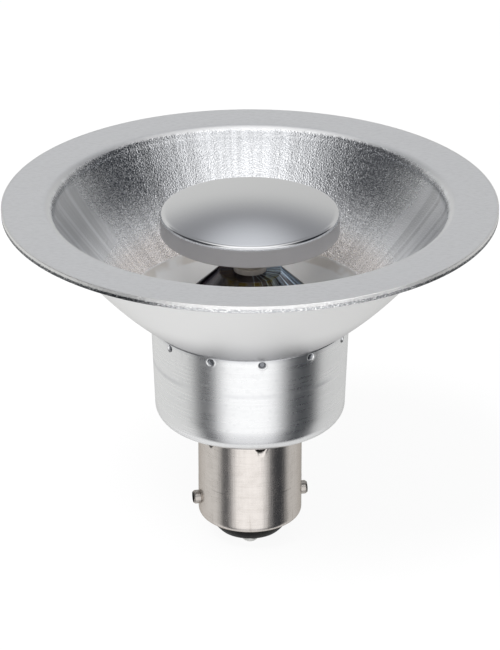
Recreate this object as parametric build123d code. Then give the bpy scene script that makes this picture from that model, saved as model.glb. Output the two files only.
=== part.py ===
from build123d import *
import os
from math import atan, cos, degrees, radians, sin, sqrt, tan

# LED reflector lamp with a double-contact bayonet cap, in millimetres.
# The lamp's axis is Z. The contact tips stand on z = 0 and the light leaves upwards.

# Clearances
turned_gap = 0.05      # between round pieces that slide into each other
board_gap = 0.10       # between a printed board and the wall around it
cavity_gap = 0.15      # between the plastic sleeve and the metal cup around it

# Cap shell and what is fixed in it
cap_r = 7.55           # outside, the standard double-contact bayonet size
cap_sheet = 0.40
cap_length = 14.4
cap_corner_r = 0.95    # rounded lower edge, measured outside
cap_lip = 0.50         # flat rim turned in below the insulator
contact_height = 1.2   # solder dome below the insulator
contact_r = 1.4
contact_rim = 0.30     # straight edge of a solder dome
contact_inset = 1.8    # contact centre inside the edge of the insulator's face
contact_shank_r = 0.80
contact_shank_rise = 0.7
contact_turn = -90     # direction of the front contact, degrees from +X
insulator_drop = 2.4   # insulator below the shell's rim
insulator_taper = 1.55 # the face is this much narrower than the shell's rim
insulator_bulge_r = 5.5
insulator_flange = 1.2
stud_r = 1.0           # bayonet pins
stud_height = 3.0      # pin axis above the shell's rim
stud_length = 1.0      # outside the shell
stud_turn = 11         # pins turned out of the X axis, degrees
stud_edge = 0.22       # bevelled end
stud_hollow_r = 0.55
stud_hollow_depth = 0.45
stud_head_r = 1.25
stud_head = 0.45

# Housing cup
cup_length = 16.9
cup_mouth_r = 14.2
cup_taper = 0.48       # the wall narrows by this towards the bottom
cup_dome_height = 3.8  # rounded bottom above the cap shell
cup_dome_rise = 4.5    # vertical half axis of the rounded bottom
cup_foot_lip = 0.40    # flat foot outside the cap shell
cup_floor = 1.2
mouth_wall = 0.75      # round the reflector's neck
cup_wall = 1.5         # below the ledge
cup_lip_chamfer = 0.15

# Twelve punched dimples hold the reflector in the cup's mouth
dimple_count = 12
dimple_turn = 7        # first dimple, degrees from the front towards +X
dimple_drop = 0.8      # below the mouth
dimple_r = 0.55
dimple_tip_r = 0.28
dimple_depth = 0.40
bump_r = 0.50
bump_tip_r = 0.28
bump_rise = 0.25       # how far a bump stands into the bore

# Six stakes hold the cap shell on the sleeve
stake_count = 6
stake_turn = 12
stake_drop = 0.57      # below the shell's upper edge
stake_r = 0.50
stake_tip_r = 0.25
stake_depth = 0.38
stake_bump_r = 0.55
stake_bump_tip_r = 0.38
stake_bump_rise = 0.35

# Pressed reflector
sheet = 1.0
rim_r = 35.0
rim_bevel = 0.12
bowl_height = 18.1     # cup mouth to rim face
bowl_focal = 9.825     # focal length of the outside surface
knee_drop = 2.42       # steepening of the wall below the rim's underside
throat_angle = 82      # slope of the wall where it meets the rim, degrees
throat_r = 0.40        # inside bend between wall and rim
neck_wall = 0.80
neck_length = 2.3

# Base plate, mirror cone and hollow stem
plate_thickness = 1.6
cone_angle = 46.0      # half angle from the axis, degrees
cone_top_r = 4.5
cone_top_height = 7.6  # flat top above the cup's mouth
cone_sheet = 0.9
stem_r = 1.8
stem_bore_r = 1.25
stem_collar_r = 2.35
stem_collar = 0.8
stem_tail = 2.8        # below the base plate
stem_port_r = 0.45     # side openings for the two lamp wires
washer_r = 3.4
washer_thickness = 0.3
nut_flats = 6.0
nut_thickness = 1.8

# Glare cap with the light source on its underside
glare_r = 12.7
glare_band = 3.15
glare_edge_drop = 1.5  # crisp upper edge below the rim face
glare_dome = 0.55
glare_skirt = 0.8
glare_recess = 1.8
glare_boss_r = 2.6
glare_boss_floor = 1.0 # metal left above the stem's end
glare_chamfer = 0.12
pad_thickness = 0.4
led_board_thickness = 1.0
led_count = 8
led_ring_r = 7.6
led_length = 3.5
led_width = 2.8
led_height = 0.7
led_wire_r = 0.30
led_wire_pitch = 0.5   # wires from the axis inside the stem
led_pad_r = 3.5        # solder pads from the axis
led_port_drop = 0.35   # wire centre below the board

# Sleeve and driver
sleeve_wall = 0.8
sleeve_slope_rise = 3.6
sleeve_neck_length = 9.0  # below the cup's foot
sleeve_ledge = 0.75
driver_height = 6.0    # upper face of the driver board below the base plate
driver_board_thickness = 1.0
inductor_r = 2.7
inductor_core_r = 1.2
inductor_height = 4.4
inductor_flange = 0.7
inductor_place = (-6.3, 2.4)
capacitor_r = 2.5
capacitor_height = 5.2
capacitor_edge = 0.35
capacitor_place = (6.3, 2.6)
chip_size = (4.9, 3.9, 1.5)
chip_place = (0.0, -6.6)
rectifier_size = (4.8, 3.9, 2.2)
resistor_size = (2.0, 1.25, 0.55)
resistor_places = ((-5.6, -3.6), (5.6, -3.6), (-2.6, 6.6), (1.4, 7.4))
supply_wire_r = 0.45
supply_wire_start = 5.2    # from the axis at the driver board
supply_wire_bend_r = 2.0
supply_wire_bend_rise = 3.6

# Heights of the stack, from the contact tips upwards
insulator_z = contact_height
cap_z = insulator_z + insulator_drop
cup_z = cap_z + cap_length
mouth_z = cup_z + cup_length
rim_z = mouth_z + bowl_height
plate_top_z = mouth_z - neck_length
plate_z = plate_top_z - plate_thickness
driver_z = plate_z - driver_height
cone_top_z = mouth_z + cone_top_height
glare_top_z = rim_z - glare_edge_drop
glare_z = glare_top_z - glare_band
recess_z = glare_z + glare_recess
led_board_z = recess_z - pad_thickness - led_board_thickness
led_port_z = led_board_z - led_port_drop
stem_top_z = glare_top_z - glare_boss_floor
insulator_top_z = cap_z + cap_sheet + insulator_flange
stud_z = cap_z + stud_height
stake_z = cup_z - stake_drop
dimple_z = mouth_z - dimple_drop

# Radii that follow from the pieces around them
cap_bore_r = cap_r - cap_sheet
cap_rim_r = cap_r - cap_corner_r - cap_lip
insulator_neck_r = cap_rim_r - turned_gap
insulator_face_r = insulator_neck_r - insulator_taper
contact_offset = insulator_face_r - contact_inset
stud_reach = cap_r + stud_length
cup_foot_r = cap_r + cup_foot_lip
cup_waist_r = cup_mouth_r - cup_taper
cup_bore_r = cup_waist_r - cup_wall
mouth_bore_r = cup_waist_r - mouth_wall
neck_r = mouth_bore_r - turned_gap
neck_bore_r = neck_r - neck_wall
sleeve_neck_r = cap_bore_r - turned_gap
sleeve_r = cup_bore_r - cavity_gap
sleeve_bore_r = sleeve_r - sleeve_wall
stem_fit_r = stem_r + turned_gap
led_board_r = glare_r - glare_skirt - board_gap
front = -90            # the side that faces the viewer


class Parabola:
    """Half section z = rise * r**2 + base of a dished sheet."""

    def __init__(self, low, high):
        self.rise = (high[1] - low[1]) / (high[0] ** 2 - low[0] ** 2)
        self.base = low[1] - self.rise * low[0] ** 2

    def height(self, r):
        return self.rise * r ** 2 + self.base

    def angle(self, r):
        return degrees(atan(2 * self.rise * r))

    def curve(self, low_r, high_r):
        """The stretch between two radii, exact as a curve with one control point."""
        middle_r = (low_r + high_r) / 2
        middle_z = self.height(low_r) + 2 * self.rise * low_r * (middle_r - low_r)
        return Bezier((low_r, self.height(low_r)), (middle_r, middle_z), (high_r, self.height(high_r)))


def turned(*outline):
    """Turn a closed outline, drawn as (radius, height), about the lamp's axis."""
    return revolve(Plane.XZ * make_face(list(outline)), Axis.Z)


def ring(outer_r, inner_r, bottom_z, height):
    """Plain ring or, with an inner radius of nothing, a disc."""
    body = Pos(0, 0, bottom_z) * Cylinder(outer_r, height, align=(Align.CENTER, Align.CENTER, Align.MIN))
    if inner_r > 0:
        body -= Pos(0, 0, bottom_z) * Cylinder(inner_r, height, align=(Align.CENTER, Align.CENTER, Align.MIN))
    return body


def studded(outer_r, outer_end, inner_r, inner_end, z, count, turn):
    """Equal tapered punches round the axis, each between two distances from it."""
    punch = Rot(Y=90) * Cone(inner_r, outer_r, outer_end - inner_end, align=(Align.CENTER, Align.CENTER, Align.MIN))
    return [Pos(0, 0, z) * place * punch for place in PolarLocations(inner_end, count, start_angle=front + turn)]


def groove(outer_r, inner_r, z, height):
    """Ring to be cut from a round neck, centred on the given height."""
    return ring(outer_r, inner_r, z - height / 2, height)


def box_on(size, place, bottom_z, turn=0):
    """Upright block on a board, its underside at the given height."""
    return Pos(place[0], place[1], bottom_z) * Rot(Z=turn) * Box(*size, align=(Align.CENTER, Align.CENTER, Align.MIN))


def wire(points, wire_r, bend_r):
    """Round wire through the given points, with a tangent bend at each corner."""
    route = FilletPolyline(*points, radius=bend_r)
    return sweep(Plane(origin=route @ 0, z_dir=route % 0) * Circle(wire_r), path=route)


def lip(start, start_angle, bend_r, drop):
    """Steepening wall and the bend into the rim, which end at the given height above the start."""
    first, last = radians(start_angle), radians(throat_angle)
    steep_r = (drop - bend_r * (1 - cos(last))) / (cos(first) - cos(last))
    steep = JernArc(start, (cos(first), sin(first)), steep_r, throat_angle - start_angle)
    bend = JernArc(steep @ 1, steep % 1, bend_r, -throat_angle)
    return steep, bend


def reflector():
    """Flat rim, steep throat, parabolic bowl and the neck that sits in the cup's mouth."""
    # Outside of the sheet
    foot = (cup_mouth_r, mouth_z)
    knee_z = rim_z - sheet - knee_drop
    knee_r = sqrt(4 * bowl_focal * (knee_z - mouth_z) + cup_mouth_r ** 2)
    outside = Parabola(foot, (knee_r, knee_z))
    outer_steep, outer_bend = lip((knee_r, knee_z), outside.angle(knee_r), throat_r, knee_drop)

    # Inside of the sheet, one thickness along the slope's normal
    def inner_point(r):
        slope = radians(outside.angle(r))
        return r - sheet * sin(slope), outside.height(r) + sheet * cos(slope)

    inner_knee = inner_point(knee_r)
    inside = Parabola(inner_point(cup_mouth_r), inner_knee)
    inner_drop = rim_z - inner_knee[1]
    inner_steep, inner_bend = lip(inner_knee, inside.angle(inner_knee[0]), throat_r + sheet, inner_drop)
    neck_top = (neck_bore_r, inside.height(neck_bore_r))

    body = turned(
        outside.curve(cup_mouth_r, knee_r), outer_steep, outer_bend,
        Polyline(outer_bend @ 1, (rim_r, rim_z - sheet), (rim_r, rim_z), inner_bend @ 1),
        inner_bend, inner_steep, inside.curve(neck_bore_r, inner_knee[0]),
        Polyline(neck_top, (neck_bore_r, plate_top_z), (neck_r, plate_top_z), (neck_r, mouth_z), foot),
    )
    body = chamfer(body.edges().filter_by(GeomType.CIRCLE).group_by(SortBy.RADIUS)[-1], rim_bevel)
    return body - groove(neck_r, mouth_bore_r - bump_rise - turned_gap, dimple_z, 2 * (bump_r + turned_gap))


def housing_cup():
    """Turned cup: tapered wall, rounded bottom, ledge for the base plate and punched mouth."""
    dome_top_z = cup_z + cup_dome_height
    # Half ellipses whose widest point is where the tapered wall begins
    sink = sqrt(1 - (cup_dome_height / cup_dome_rise) ** 2)
    dome_run = (cup_waist_r - cup_foot_r) / (1 - sink)
    center_r = cup_waist_r - dome_run
    low_angle = -degrees(atan(cup_dome_height / cup_dome_rise / sink))
    outer_dome = EllipticalCenterArc((center_r, dome_top_z), dome_run, cup_dome_rise, low_angle, arc_size=-low_angle)

    inner_rise = cup_dome_rise - cup_floor
    inner_height = cup_dome_height - cup_floor
    inner_sink = sqrt(1 - (inner_height / inner_rise) ** 2)
    inner_angle = -degrees(atan(inner_height / inner_rise / inner_sink))
    inner_dome = EllipticalCenterArc((center_r, dome_top_z), cup_bore_r - center_r, inner_rise, inner_angle,
                                     arc_size=-inner_angle)
    foot_r = cap_bore_r

    body = turned(
        outer_dome,
        Polyline(outer_dome @ 1, (cup_mouth_r, mouth_z), (mouth_bore_r, mouth_z), (mouth_bore_r, plate_z),
                 (cup_bore_r, plate_z), inner_dome @ 1),
        inner_dome,
        Polyline(inner_dome @ 0, (foot_r, cup_z + cup_floor), (foot_r, cup_z), outer_dome @ 0),
    )
    mouth_edge = body.edges().filter_by(GeomType.CIRCLE).sort_by(Axis.Z)[-2:].sort_by(SortBy.RADIUS)[-1]
    body = chamfer(mouth_edge, cup_lip_chamfer)
    dents = studded(dimple_r, cup_mouth_r + turned_gap, dimple_tip_r, cup_mouth_r - dimple_depth,
                    dimple_z, dimple_count, dimple_turn)
    bumps = studded(bump_r, mouth_bore_r + bump_rise, bump_tip_r, mouth_bore_r - bump_rise,
                    dimple_z, dimple_count, dimple_turn)
    return body + bumps - dents


def stud_places():
    return [Rot(Z=turn) for turn in (stud_turn + 180, stud_turn)]


def cap_shell():
    """Drawn tube with a rounded, turned-in lower rim, two pin holes and six stakes."""
    corner = JernArc((cap_r, cap_z + cap_corner_r), (0, -1), cap_corner_r, -90)
    inner_corner_r = cap_corner_r - cap_sheet
    inner_corner = JernArc((cap_bore_r, cap_z + cap_corner_r), (0, -1), inner_corner_r, -90)
    body = turned(
        corner,
        Polyline(corner @ 1, (cap_rim_r, cap_z), (cap_rim_r, cap_z + cap_sheet), inner_corner @ 1),
        inner_corner,
        Polyline(inner_corner @ 0, (cap_bore_r, cup_z), (cap_r, cup_z), corner @ 0),
    )
    bumps = studded(stake_bump_r, cap_bore_r + cap_sheet / 2, stake_bump_tip_r, cap_bore_r - stake_bump_rise,
                    stake_z, stake_count, stake_turn)
    dents = studded(stake_r, cap_r + turned_gap, stake_tip_r, cap_r - stake_depth, stake_z, stake_count, stake_turn)
    hole = Pos(cap_bore_r, 0, stud_z) * Rot(Y=90) * Cylinder(stud_r + turned_gap, 4 * cap_sheet)
    return body + bumps - dents - [place * hole for place in stud_places()]


def bayonet_stud():
    """Hollow-ended pin, riveted inside the shell; it points along +X."""
    head_end = sqrt(cap_bore_r ** 2 - stud_head_r ** 2) - turned_gap
    along = (Align.CENTER, Align.CENTER, Align.MIN)
    shank = Pos(head_end, 0, 0) * Rot(Y=90) * Cylinder(stud_r, stud_reach - head_end, align=along)
    head = Pos(head_end - stud_head, 0, 0) * Rot(Y=90) * Cylinder(stud_head_r, stud_head, align=along)
    shank = chamfer(shank.edges().sort_by(Axis.X)[-1], stud_edge)
    hollow = Pos(stud_reach - stud_hollow_depth, 0, 0) * Rot(Y=90) * Cylinder(
        stud_hollow_r, 2 * stud_hollow_depth, align=along)
    return Pos(0, 0, stud_z) * (shank + head - hollow)


def contact_places():
    return [Rot(Z=turn) * Pos(contact_offset, 0, 0) for turn in (contact_turn, contact_turn + 180)]


def cap_insulator():
    """Glass plug that carries the contacts and fills the shell's rim."""
    seat_r = cap_r - cap_corner_r - turned_gap
    flange_r = cap_bore_r - turned_gap
    bulge = RadiusArc((insulator_face_r, insulator_z), (insulator_neck_r, cap_z), insulator_bulge_r)
    seat_z = cap_z + cap_sheet
    corner_z = cap_z + cap_corner_r
    body = turned(
        bulge,
        Polyline((insulator_neck_r, cap_z), (insulator_neck_r, seat_z), (seat_r, seat_z), (flange_r, corner_z),
                 (flange_r, insulator_top_z), (0, insulator_top_z), (0, insulator_z),
                 (insulator_face_r, insulator_z)),
    )
    bore = ring(contact_shank_r + turned_gap, 0, insulator_z, insulator_top_z - insulator_z)
    return body - [place * bore for place in contact_places()]


def contact():
    """Solder dome with the shank that passes through the insulator."""
    edge_z = contact_height - contact_rim
    dome = TangentArc((0, 0), (contact_r, edge_z), tangent=(1, 0))
    top_z = insulator_top_z + contact_shank_rise
    return turned(
        dome,
        Polyline((contact_r, edge_z), (contact_r, contact_height), (contact_shank_r, contact_height),
                 (contact_shank_r, top_z), (0, top_z), (0, 0)),
    )


def driver_sleeve():
    """Moulded liner of the cup, with the neck that the cap shell is staked to."""
    floor_z = cup_z + cup_floor
    neck_z = cup_z - sleeve_neck_length
    slope_z = floor_z + sleeve_slope_rise
    shoulder_r = sleeve_neck_r + sleeve_wall
    neck_bore = sleeve_neck_r - sleeve_wall
    ledge_r = sleeve_bore_r - sleeve_ledge
    ledge_z = driver_z - driver_board_thickness
    body = turned(Polyline(
        (sleeve_r, plate_z), (sleeve_r, slope_z), (shoulder_r, floor_z), (sleeve_neck_r, floor_z),
        (sleeve_neck_r, neck_z), (neck_bore, neck_z), (neck_bore, floor_z + sleeve_wall),
        (ledge_r, slope_z + sleeve_wall / 2), (ledge_r, ledge_z), (sleeve_bore_r, ledge_z),
        (sleeve_bore_r, plate_z), close=True,
    ))
    return body - groove(sleeve_neck_r, cap_bore_r - stake_bump_rise - turned_gap, stake_z,
                         2 * (stake_bump_r + turned_gap))


def base_plate():
    """Disc on the cup's ledge, held down by the reflector's neck."""
    return ring(neck_r, stem_fit_r, plate_z, plate_thickness)


def mirror_cone():
    """Hollow polished cone with a flat top round the stem."""
    base_r = neck_bore_r - turned_gap
    slope = tan(radians(cone_angle))
    shoulder_z = cone_top_z - (base_r - cone_top_r) / slope
    wall_run = cone_sheet / cos(radians(cone_angle))
    inner_base_r = base_r - cone_sheet
    under_top_z = cone_top_z - cone_sheet
    inner_shoulder_z = shoulder_z - (wall_run - cone_sheet) / slope
    inner_top_r = cone_top_r - wall_run + cone_sheet * slope
    return turned(Polyline(
        (base_r, plate_top_z), (base_r, shoulder_z), (cone_top_r, cone_top_z), (stem_fit_r, cone_top_z),
        (stem_fit_r, under_top_z), (inner_top_r, under_top_z), (inner_base_r, inner_shoulder_z),
        (inner_base_r, plate_top_z), close=True,
    ))


def stem_tube():
    """Hollow stem with a collar on the cone, which carries the glare cap and the lamp wires."""
    bottom_z = plate_z - stem_tail
    body = ring(stem_r, 0, bottom_z, stem_top_z - bottom_z) + ring(stem_collar_r, 0, cone_top_z, stem_collar)
    bore_top_z = led_port_z + stem_port_r + turned_gap
    body -= ring(stem_bore_r, 0, bottom_z, bore_top_z - bottom_z)
    port = Pos(0, 0, led_port_z) * Rot(Y=90) * Cylinder(stem_port_r, 4 * stem_r)
    return body - port


def stem_washer():
    return ring(washer_r, stem_fit_r, plate_z - washer_thickness, washer_thickness)


def stem_nut():
    hexagon = RegularPolygon(nut_flats / 2, 6, major_radius=False)
    blank = Pos(0, 0, plate_z - washer_thickness - nut_thickness) * extrude(hexagon, nut_thickness)
    return blank - ring(stem_fit_r, 0, plate_z - washer_thickness - nut_thickness, nut_thickness)


def glare_cap():
    """Disc with a shallow dome and a side band; its underside takes the light source."""
    dome = ThreePointArc((-glare_r, glare_top_z), (0, glare_top_z + glare_dome), (glare_r, glare_top_z))
    dome = dome.trim(0.5, 1)
    recess_r = glare_r - glare_skirt
    boss_z = led_board_z
    body = turned(
        dome,
        Polyline((glare_r, glare_top_z), (glare_r, glare_z + glare_chamfer), (glare_r - glare_chamfer, glare_z),
                 (recess_r, glare_z), (recess_r, recess_z), (glare_boss_r, recess_z), (glare_boss_r, boss_z),
                 (0, boss_z), (0, glare_top_z + glare_dome)),
    )
    return body - ring(stem_fit_r, 0, boss_z, stem_top_z - boss_z)


def thermal_pad():
    return ring(led_board_r, glare_boss_r + board_gap, recess_z - pad_thickness, pad_thickness)


def led_board():
    return ring(led_board_r, glare_boss_r + board_gap, led_board_z, led_board_thickness)


def led_chips():
    """Light sources in a ring on the board's underside."""
    size = (led_length, led_width, led_height)
    places = PolarLocations(led_ring_r, led_count, start_angle=front + 180 / led_count)
    return Compound(children=[place * box_on(size, (0, 0), led_board_z - led_height) for place in places])


def led_wire(side):
    """From the driver board up the stem, out of its side opening and along the board to its solder pad."""
    inner = side * led_wire_pitch
    return wire([(inner, 0, driver_z), (inner, 0, led_port_z), (side * led_pad_r, 0, led_port_z)],
                led_wire_r, 2 * led_wire_r)


def driver_board():
    """Round board on the sleeve's ledge."""
    return ring(sleeve_bore_r - board_gap, 0, driver_z - driver_board_thickness, driver_board_thickness)


def inductor_core():
    """Ferrite drum that stands on the driver board."""
    waist = inductor_height - 2 * inductor_flange
    body = ring(inductor_r, 0, driver_z, inductor_flange)
    body += ring(inductor_core_r, 0, driver_z + inductor_flange, waist)
    body += ring(inductor_r, 0, driver_z + inductor_flange + waist, inductor_flange)
    return Pos(*inductor_place) * body


def inductor_winding():
    waist = inductor_height - 2 * inductor_flange
    winding_r = inductor_r - 2 * turned_gap
    return Pos(*inductor_place) * ring(winding_r, inductor_core_r + turned_gap, driver_z + inductor_flange, waist)


def smoothing_capacitor():
    can = ring(capacitor_r, 0, driver_z, capacitor_height)
    return Pos(*capacitor_place) * chamfer(can.edges().sort_by(Axis.Z)[-1], capacitor_edge)


def driver_chip():
    return box_on(chip_size, chip_place, driver_z)


def bridge_rectifier():
    return box_on(rectifier_size, (0, 0), driver_z - driver_board_thickness - rectifier_size[2])


def chip_resistors():
    return Compound(children=[box_on(resistor_size, place, driver_z) for place in resistor_places])


def supply_wire():
    """From the driver board's underside down to a contact's shank; it lies on the +X side."""
    top_z = driver_z - driver_board_thickness
    bottom_z = insulator_top_z + contact_shank_rise
    bend_top_z = cup_z
    return wire([(supply_wire_start, 0, top_z), (supply_wire_start, 0, bend_top_z),
                 (contact_offset, 0, bend_top_z - supply_wire_bend_rise), (contact_offset, 0, bottom_z)],
                supply_wire_r, supply_wire_bend_r)


pieces = {
    "reflector": reflector(),
    "glare_cap": glare_cap(),
    "thermal_pad": thermal_pad(),
    "led_board": led_board(),
    "led_chips": led_chips(),
    "led_wire_left": led_wire(-1),
    "led_wire_right": led_wire(1),
    "stem_tube": stem_tube(),
    "stem_washer": stem_washer(),
    "stem_nut": stem_nut(),
    "mirror_cone": mirror_cone(),
    "base_plate": base_plate(),
    "housing_cup": housing_cup(),
    "driver_sleeve": driver_sleeve(),
    "driver_board": driver_board(),
    "inductor_core": inductor_core(),
    "inductor_winding": inductor_winding(),
    "smoothing_capacitor": smoothing_capacitor(),
    "driver_chip": driver_chip(),
    "bridge_rectifier": bridge_rectifier(),
    "chip_resistors": chip_resistors(),
    "supply_wire_front": Rot(Z=contact_turn) * supply_wire(),
    "supply_wire_rear": Rot(Z=contact_turn + 180) * supply_wire(),
    "cap_shell": cap_shell(),
    "bayonet_pin_left": stud_places()[0] * bayonet_stud(),
    "bayonet_pin_right": stud_places()[1] * bayonet_stud(),
    "cap_insulator": cap_insulator(),
    "contact_front": contact_places()[0] * contact(),
    "contact_rear": contact_places()[1] * contact(),
}

os.makedirs("parts", exist_ok=True)
for name, piece in pieces.items():
    export_step(piece, f"parts/{name}.step")
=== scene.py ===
"""Visual model of a small LED reflector lamp with a double-contact bayonet cap.

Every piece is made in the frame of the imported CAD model: the contact tips stand
on z = 0, the lamp's axis is Z and the viewer is on the -Y side. Sizes are given
in millimetres here and become metres where a mesh is made.
"""

import logging
import math
from dataclasses import dataclass
from enum import Enum
from typing import Optional, Sequence, Union

import bpy
import numpy as np
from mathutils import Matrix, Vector


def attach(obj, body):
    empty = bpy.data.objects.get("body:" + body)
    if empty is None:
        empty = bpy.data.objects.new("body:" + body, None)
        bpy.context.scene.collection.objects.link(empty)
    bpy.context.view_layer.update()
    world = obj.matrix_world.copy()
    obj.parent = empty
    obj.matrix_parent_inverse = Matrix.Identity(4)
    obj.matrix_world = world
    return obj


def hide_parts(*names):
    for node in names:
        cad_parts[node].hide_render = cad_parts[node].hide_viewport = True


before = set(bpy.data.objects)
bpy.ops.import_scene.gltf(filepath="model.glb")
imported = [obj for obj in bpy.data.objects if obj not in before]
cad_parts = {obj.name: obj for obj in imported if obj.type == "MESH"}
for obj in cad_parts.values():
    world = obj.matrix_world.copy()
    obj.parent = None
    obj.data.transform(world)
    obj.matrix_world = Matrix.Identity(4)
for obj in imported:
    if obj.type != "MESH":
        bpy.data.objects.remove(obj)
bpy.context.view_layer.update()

LOG = logging.getLogger("lamp")
MM = 0.001
BODY = "root"
FRONT = math.radians(-90.0)
SUPPORT = 1.6

Colour = tuple[float, float, float]
Point = tuple[float, float]
Range = tuple[float, float]
Span = tuple[float, float, float]
Stops = tuple[tuple[float, Colour], ...]
Settings = dict[str, object]
Sockets = dict[Union[int, str], object]
BLACK: Colour = (0.0, 0.0, 0.0)
WHITE: Colour = (1.0, 1.0, 1.0)


def grey(level: float, blue: float = 0.0) -> Colour:
    """Grey of one level, with a little more or less blue."""
    return (level, level, level + blue)


class Value:
    """One shader socket that takes part in Python expressions by adding Math nodes."""

    def __init__(self, recipe: "Recipe", socket: bpy.types.NodeSocket) -> None:
        """Keeps the socket and the recipe it belongs to."""
        self.recipe = recipe
        self.socket = socket

    def _math(self, operation: str, first: "Term", second: "Term") -> "Value":
        """One Math node on two terms."""
        return self.recipe.node("ShaderNodeMath", {"operation": operation}, {0: first, 1: second})

    def __add__(self, other: "Term") -> "Value":
        """self + other."""
        return self._math("ADD", self, other)

    def __radd__(self, other: "Term") -> "Value":
        """other + self."""
        return self._math("ADD", other, self)

    def __sub__(self, other: "Term") -> "Value":
        """self - other."""
        return self._math("SUBTRACT", self, other)

    def __rsub__(self, other: "Term") -> "Value":
        """other - self."""
        return self._math("SUBTRACT", other, self)

    def __mul__(self, other: "Term") -> "Value":
        """self * other."""
        return self._math("MULTIPLY", self, other)

    def __rmul__(self, other: "Term") -> "Value":
        """other * self."""
        return self._math("MULTIPLY", other, self)

    def __pow__(self, other: "Term") -> "Value":
        """self ** other."""
        return self._math("POWER", self, other)

    def __abs__(self) -> "Value":
        """Size of self without its sign."""
        return self._math("ABSOLUTE", self, 0.0)

    def above(self, low: float, high: float) -> "Value":
        """Mask that rises smoothly from 0 at low to 1 at high.

        Args:
            low: Value at which the mask leaves 0.
            high: Value at which the mask reaches 1.

        Returns:
            The mask.
        """
        return self.recipe.node(
            "ShaderNodeMapRange", {"interpolation_type": "SMOOTHSTEP"},
            {"Value": self, "From Min": low, "From Max": high})

    def around(self, centre: float, core: float, reach: float) -> "Value":
        """Mask that is 1 within core of a centre and falls to 0 at reach.

        Args:
            centre: Middle of the band.
            core: Half width of its full part.
            reach: Half width of the whole band.

        Returns:
            The mask.
        """
        return 1.0 - abs(self - centre).above(core, reach)


Term = Union[Value, float]


class Recipe:
    """The node tree of one finish, lamp or world."""

    def __init__(self, tree: bpy.types.NodeTree) -> None:
        """Empties the tree so that it holds only what is added here."""
        self.tree = tree
        tree.nodes.clear()

    @staticmethod
    def _pick(sockets: Sequence[bpy.types.NodeSocket], key: Union[int, str]) -> bpy.types.NodeSocket:
        """Finds a socket by place, identifier or name."""
        if isinstance(key, int):
            return sockets[key]
        return next(s for s in sockets if key in (s.identifier, s.name))

    def node(self, kind: str, settings: Optional[Settings] = None, sockets: Optional[Sockets] = None,
             out: Union[int, str] = 0) -> Value:
        """Adds one node.

        Args:
            kind: The node's type.
            settings: Its properties, set before its sockets; "stops" fills a colour ramp.
            sockets: Values or links for its inputs, by place, identifier or name.
            out: The output that is wanted.

        Returns:
            That output, wrapped for expressions.
        """
        made = self.tree.nodes.new(kind)
        for key, setting in (settings or {}).items():
            if key == "stops":
                elements = made.color_ramp.elements
                while len(elements) < len(setting):
                    elements.new(0.5)
                for element, (position, colour) in zip(elements, setting):
                    element.position, element.color = position, (*colour, 1.0)
            else:
                setattr(made, key, setting)
        for key, term in (sockets or {}).items():
            socket = self._pick(made.inputs, key)
            if isinstance(term, Value):
                self.tree.links.new(term.socket, socket)
            elif isinstance(term, tuple) and socket.type == "RGBA":
                socket.default_value = (*term, 1.0)
            else:
                socket.default_value = term
        return Value(self, self._pick(made.outputs, out) if made.outputs else None)

    def place(self) -> Value:
        """The point on the piece in millimetres."""
        spot = self.node("ShaderNodeTexCoord", out="Object")
        return self.node("ShaderNodeVectorMath", {"operation": "SCALE"}, {0: spot, "Scale": 1 / MM})

    def attribute(self, name: str) -> Value:
        """A number kept on the piece's points."""
        return self.node("ShaderNodeAttribute", {"attribute_name": name}, out="Fac")

    def axes(self, vector: Value) -> tuple[Value, Value, Value]:
        """Splits a vector into its three numbers."""
        parts = self.node("ShaderNodeSeparateXYZ", sockets={0: vector})
        return tuple(Value(self, socket) for socket in parts.socket.node.outputs)

    def vector(self, x: Term, y: Term, z: Term) -> Value:
        """Joins three numbers into a vector."""
        return self.node("ShaderNodeCombineXYZ", sockets={0: x, 1: y, 2: z})

    def stretched(self, vector: Value, x: float, y: float, z: float) -> Value:
        """Multiplies a vector by one factor along each axis."""
        return self.node("ShaderNodeVectorMath", {"operation": "MULTIPLY"}, {0: vector, 1: (x, y, z)})

    def noise(self, vector: Value, scale: float, detail: float = 2.0, rough: float = 0.5) -> Value:
        """Soft noise.

        Args:
            vector: Where it is read.
            scale: About how many cells there are for each unit of the vector.
            detail: How many finer layers are added.
            rough: How strong each finer layer is.

        Returns:
            The noise, from 0 to 1.
        """
        return self.node("ShaderNodeTexNoise", {"noise_dimensions": "3D"},
                         {"Vector": vector, "Scale": scale, "Detail": detail, "Roughness": rough})

    def blend(self, factor: Term, first: Union[Value, Colour], second: Union[Value, Colour]) -> Value:
        """Mixes two colours."""
        return self.node("ShaderNodeMix", {"data_type": "RGBA"},
                         {"Factor_Float": factor, "A_Color": first, "B_Color": second}, "Result_Color")

    def relief(self, height: Value, depth: float) -> Value:
        """Normal for a relief.

        Args:
            height: Relief from 0 to 1.
            depth: Depth in millimetres that 1 stands for.

        Returns:
            The normal.
        """
        return self.node("ShaderNodeBump", sockets={"Height": height, "Distance": depth * MM})

    def surface(self, colour: Value, rough: Value, normal: Value, metal: Term = 1.0,
                more: Optional[Sockets] = None) -> Value:
        """Adds a Principled shader.

        Args:
            colour: Its base colour.
            rough: Its roughness.
            normal: Its normal.
            metal: 1 for metal and 0 for anything else.
            more: Further sockets by name.

        Returns:
            The shader.
        """
        sockets = {"Base Color": colour, "Metallic": metal, "Roughness": rough, "Normal": normal, **(more or {})}
        return self.node("ShaderNodeBsdfPrincipled", sockets=sockets)

    def finish(self, shader: Value, kind: str = "ShaderNodeOutputMaterial") -> None:
        """Links the shader to the tree's output."""
        self.node(kind, sockets={"Surface": shader})


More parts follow.
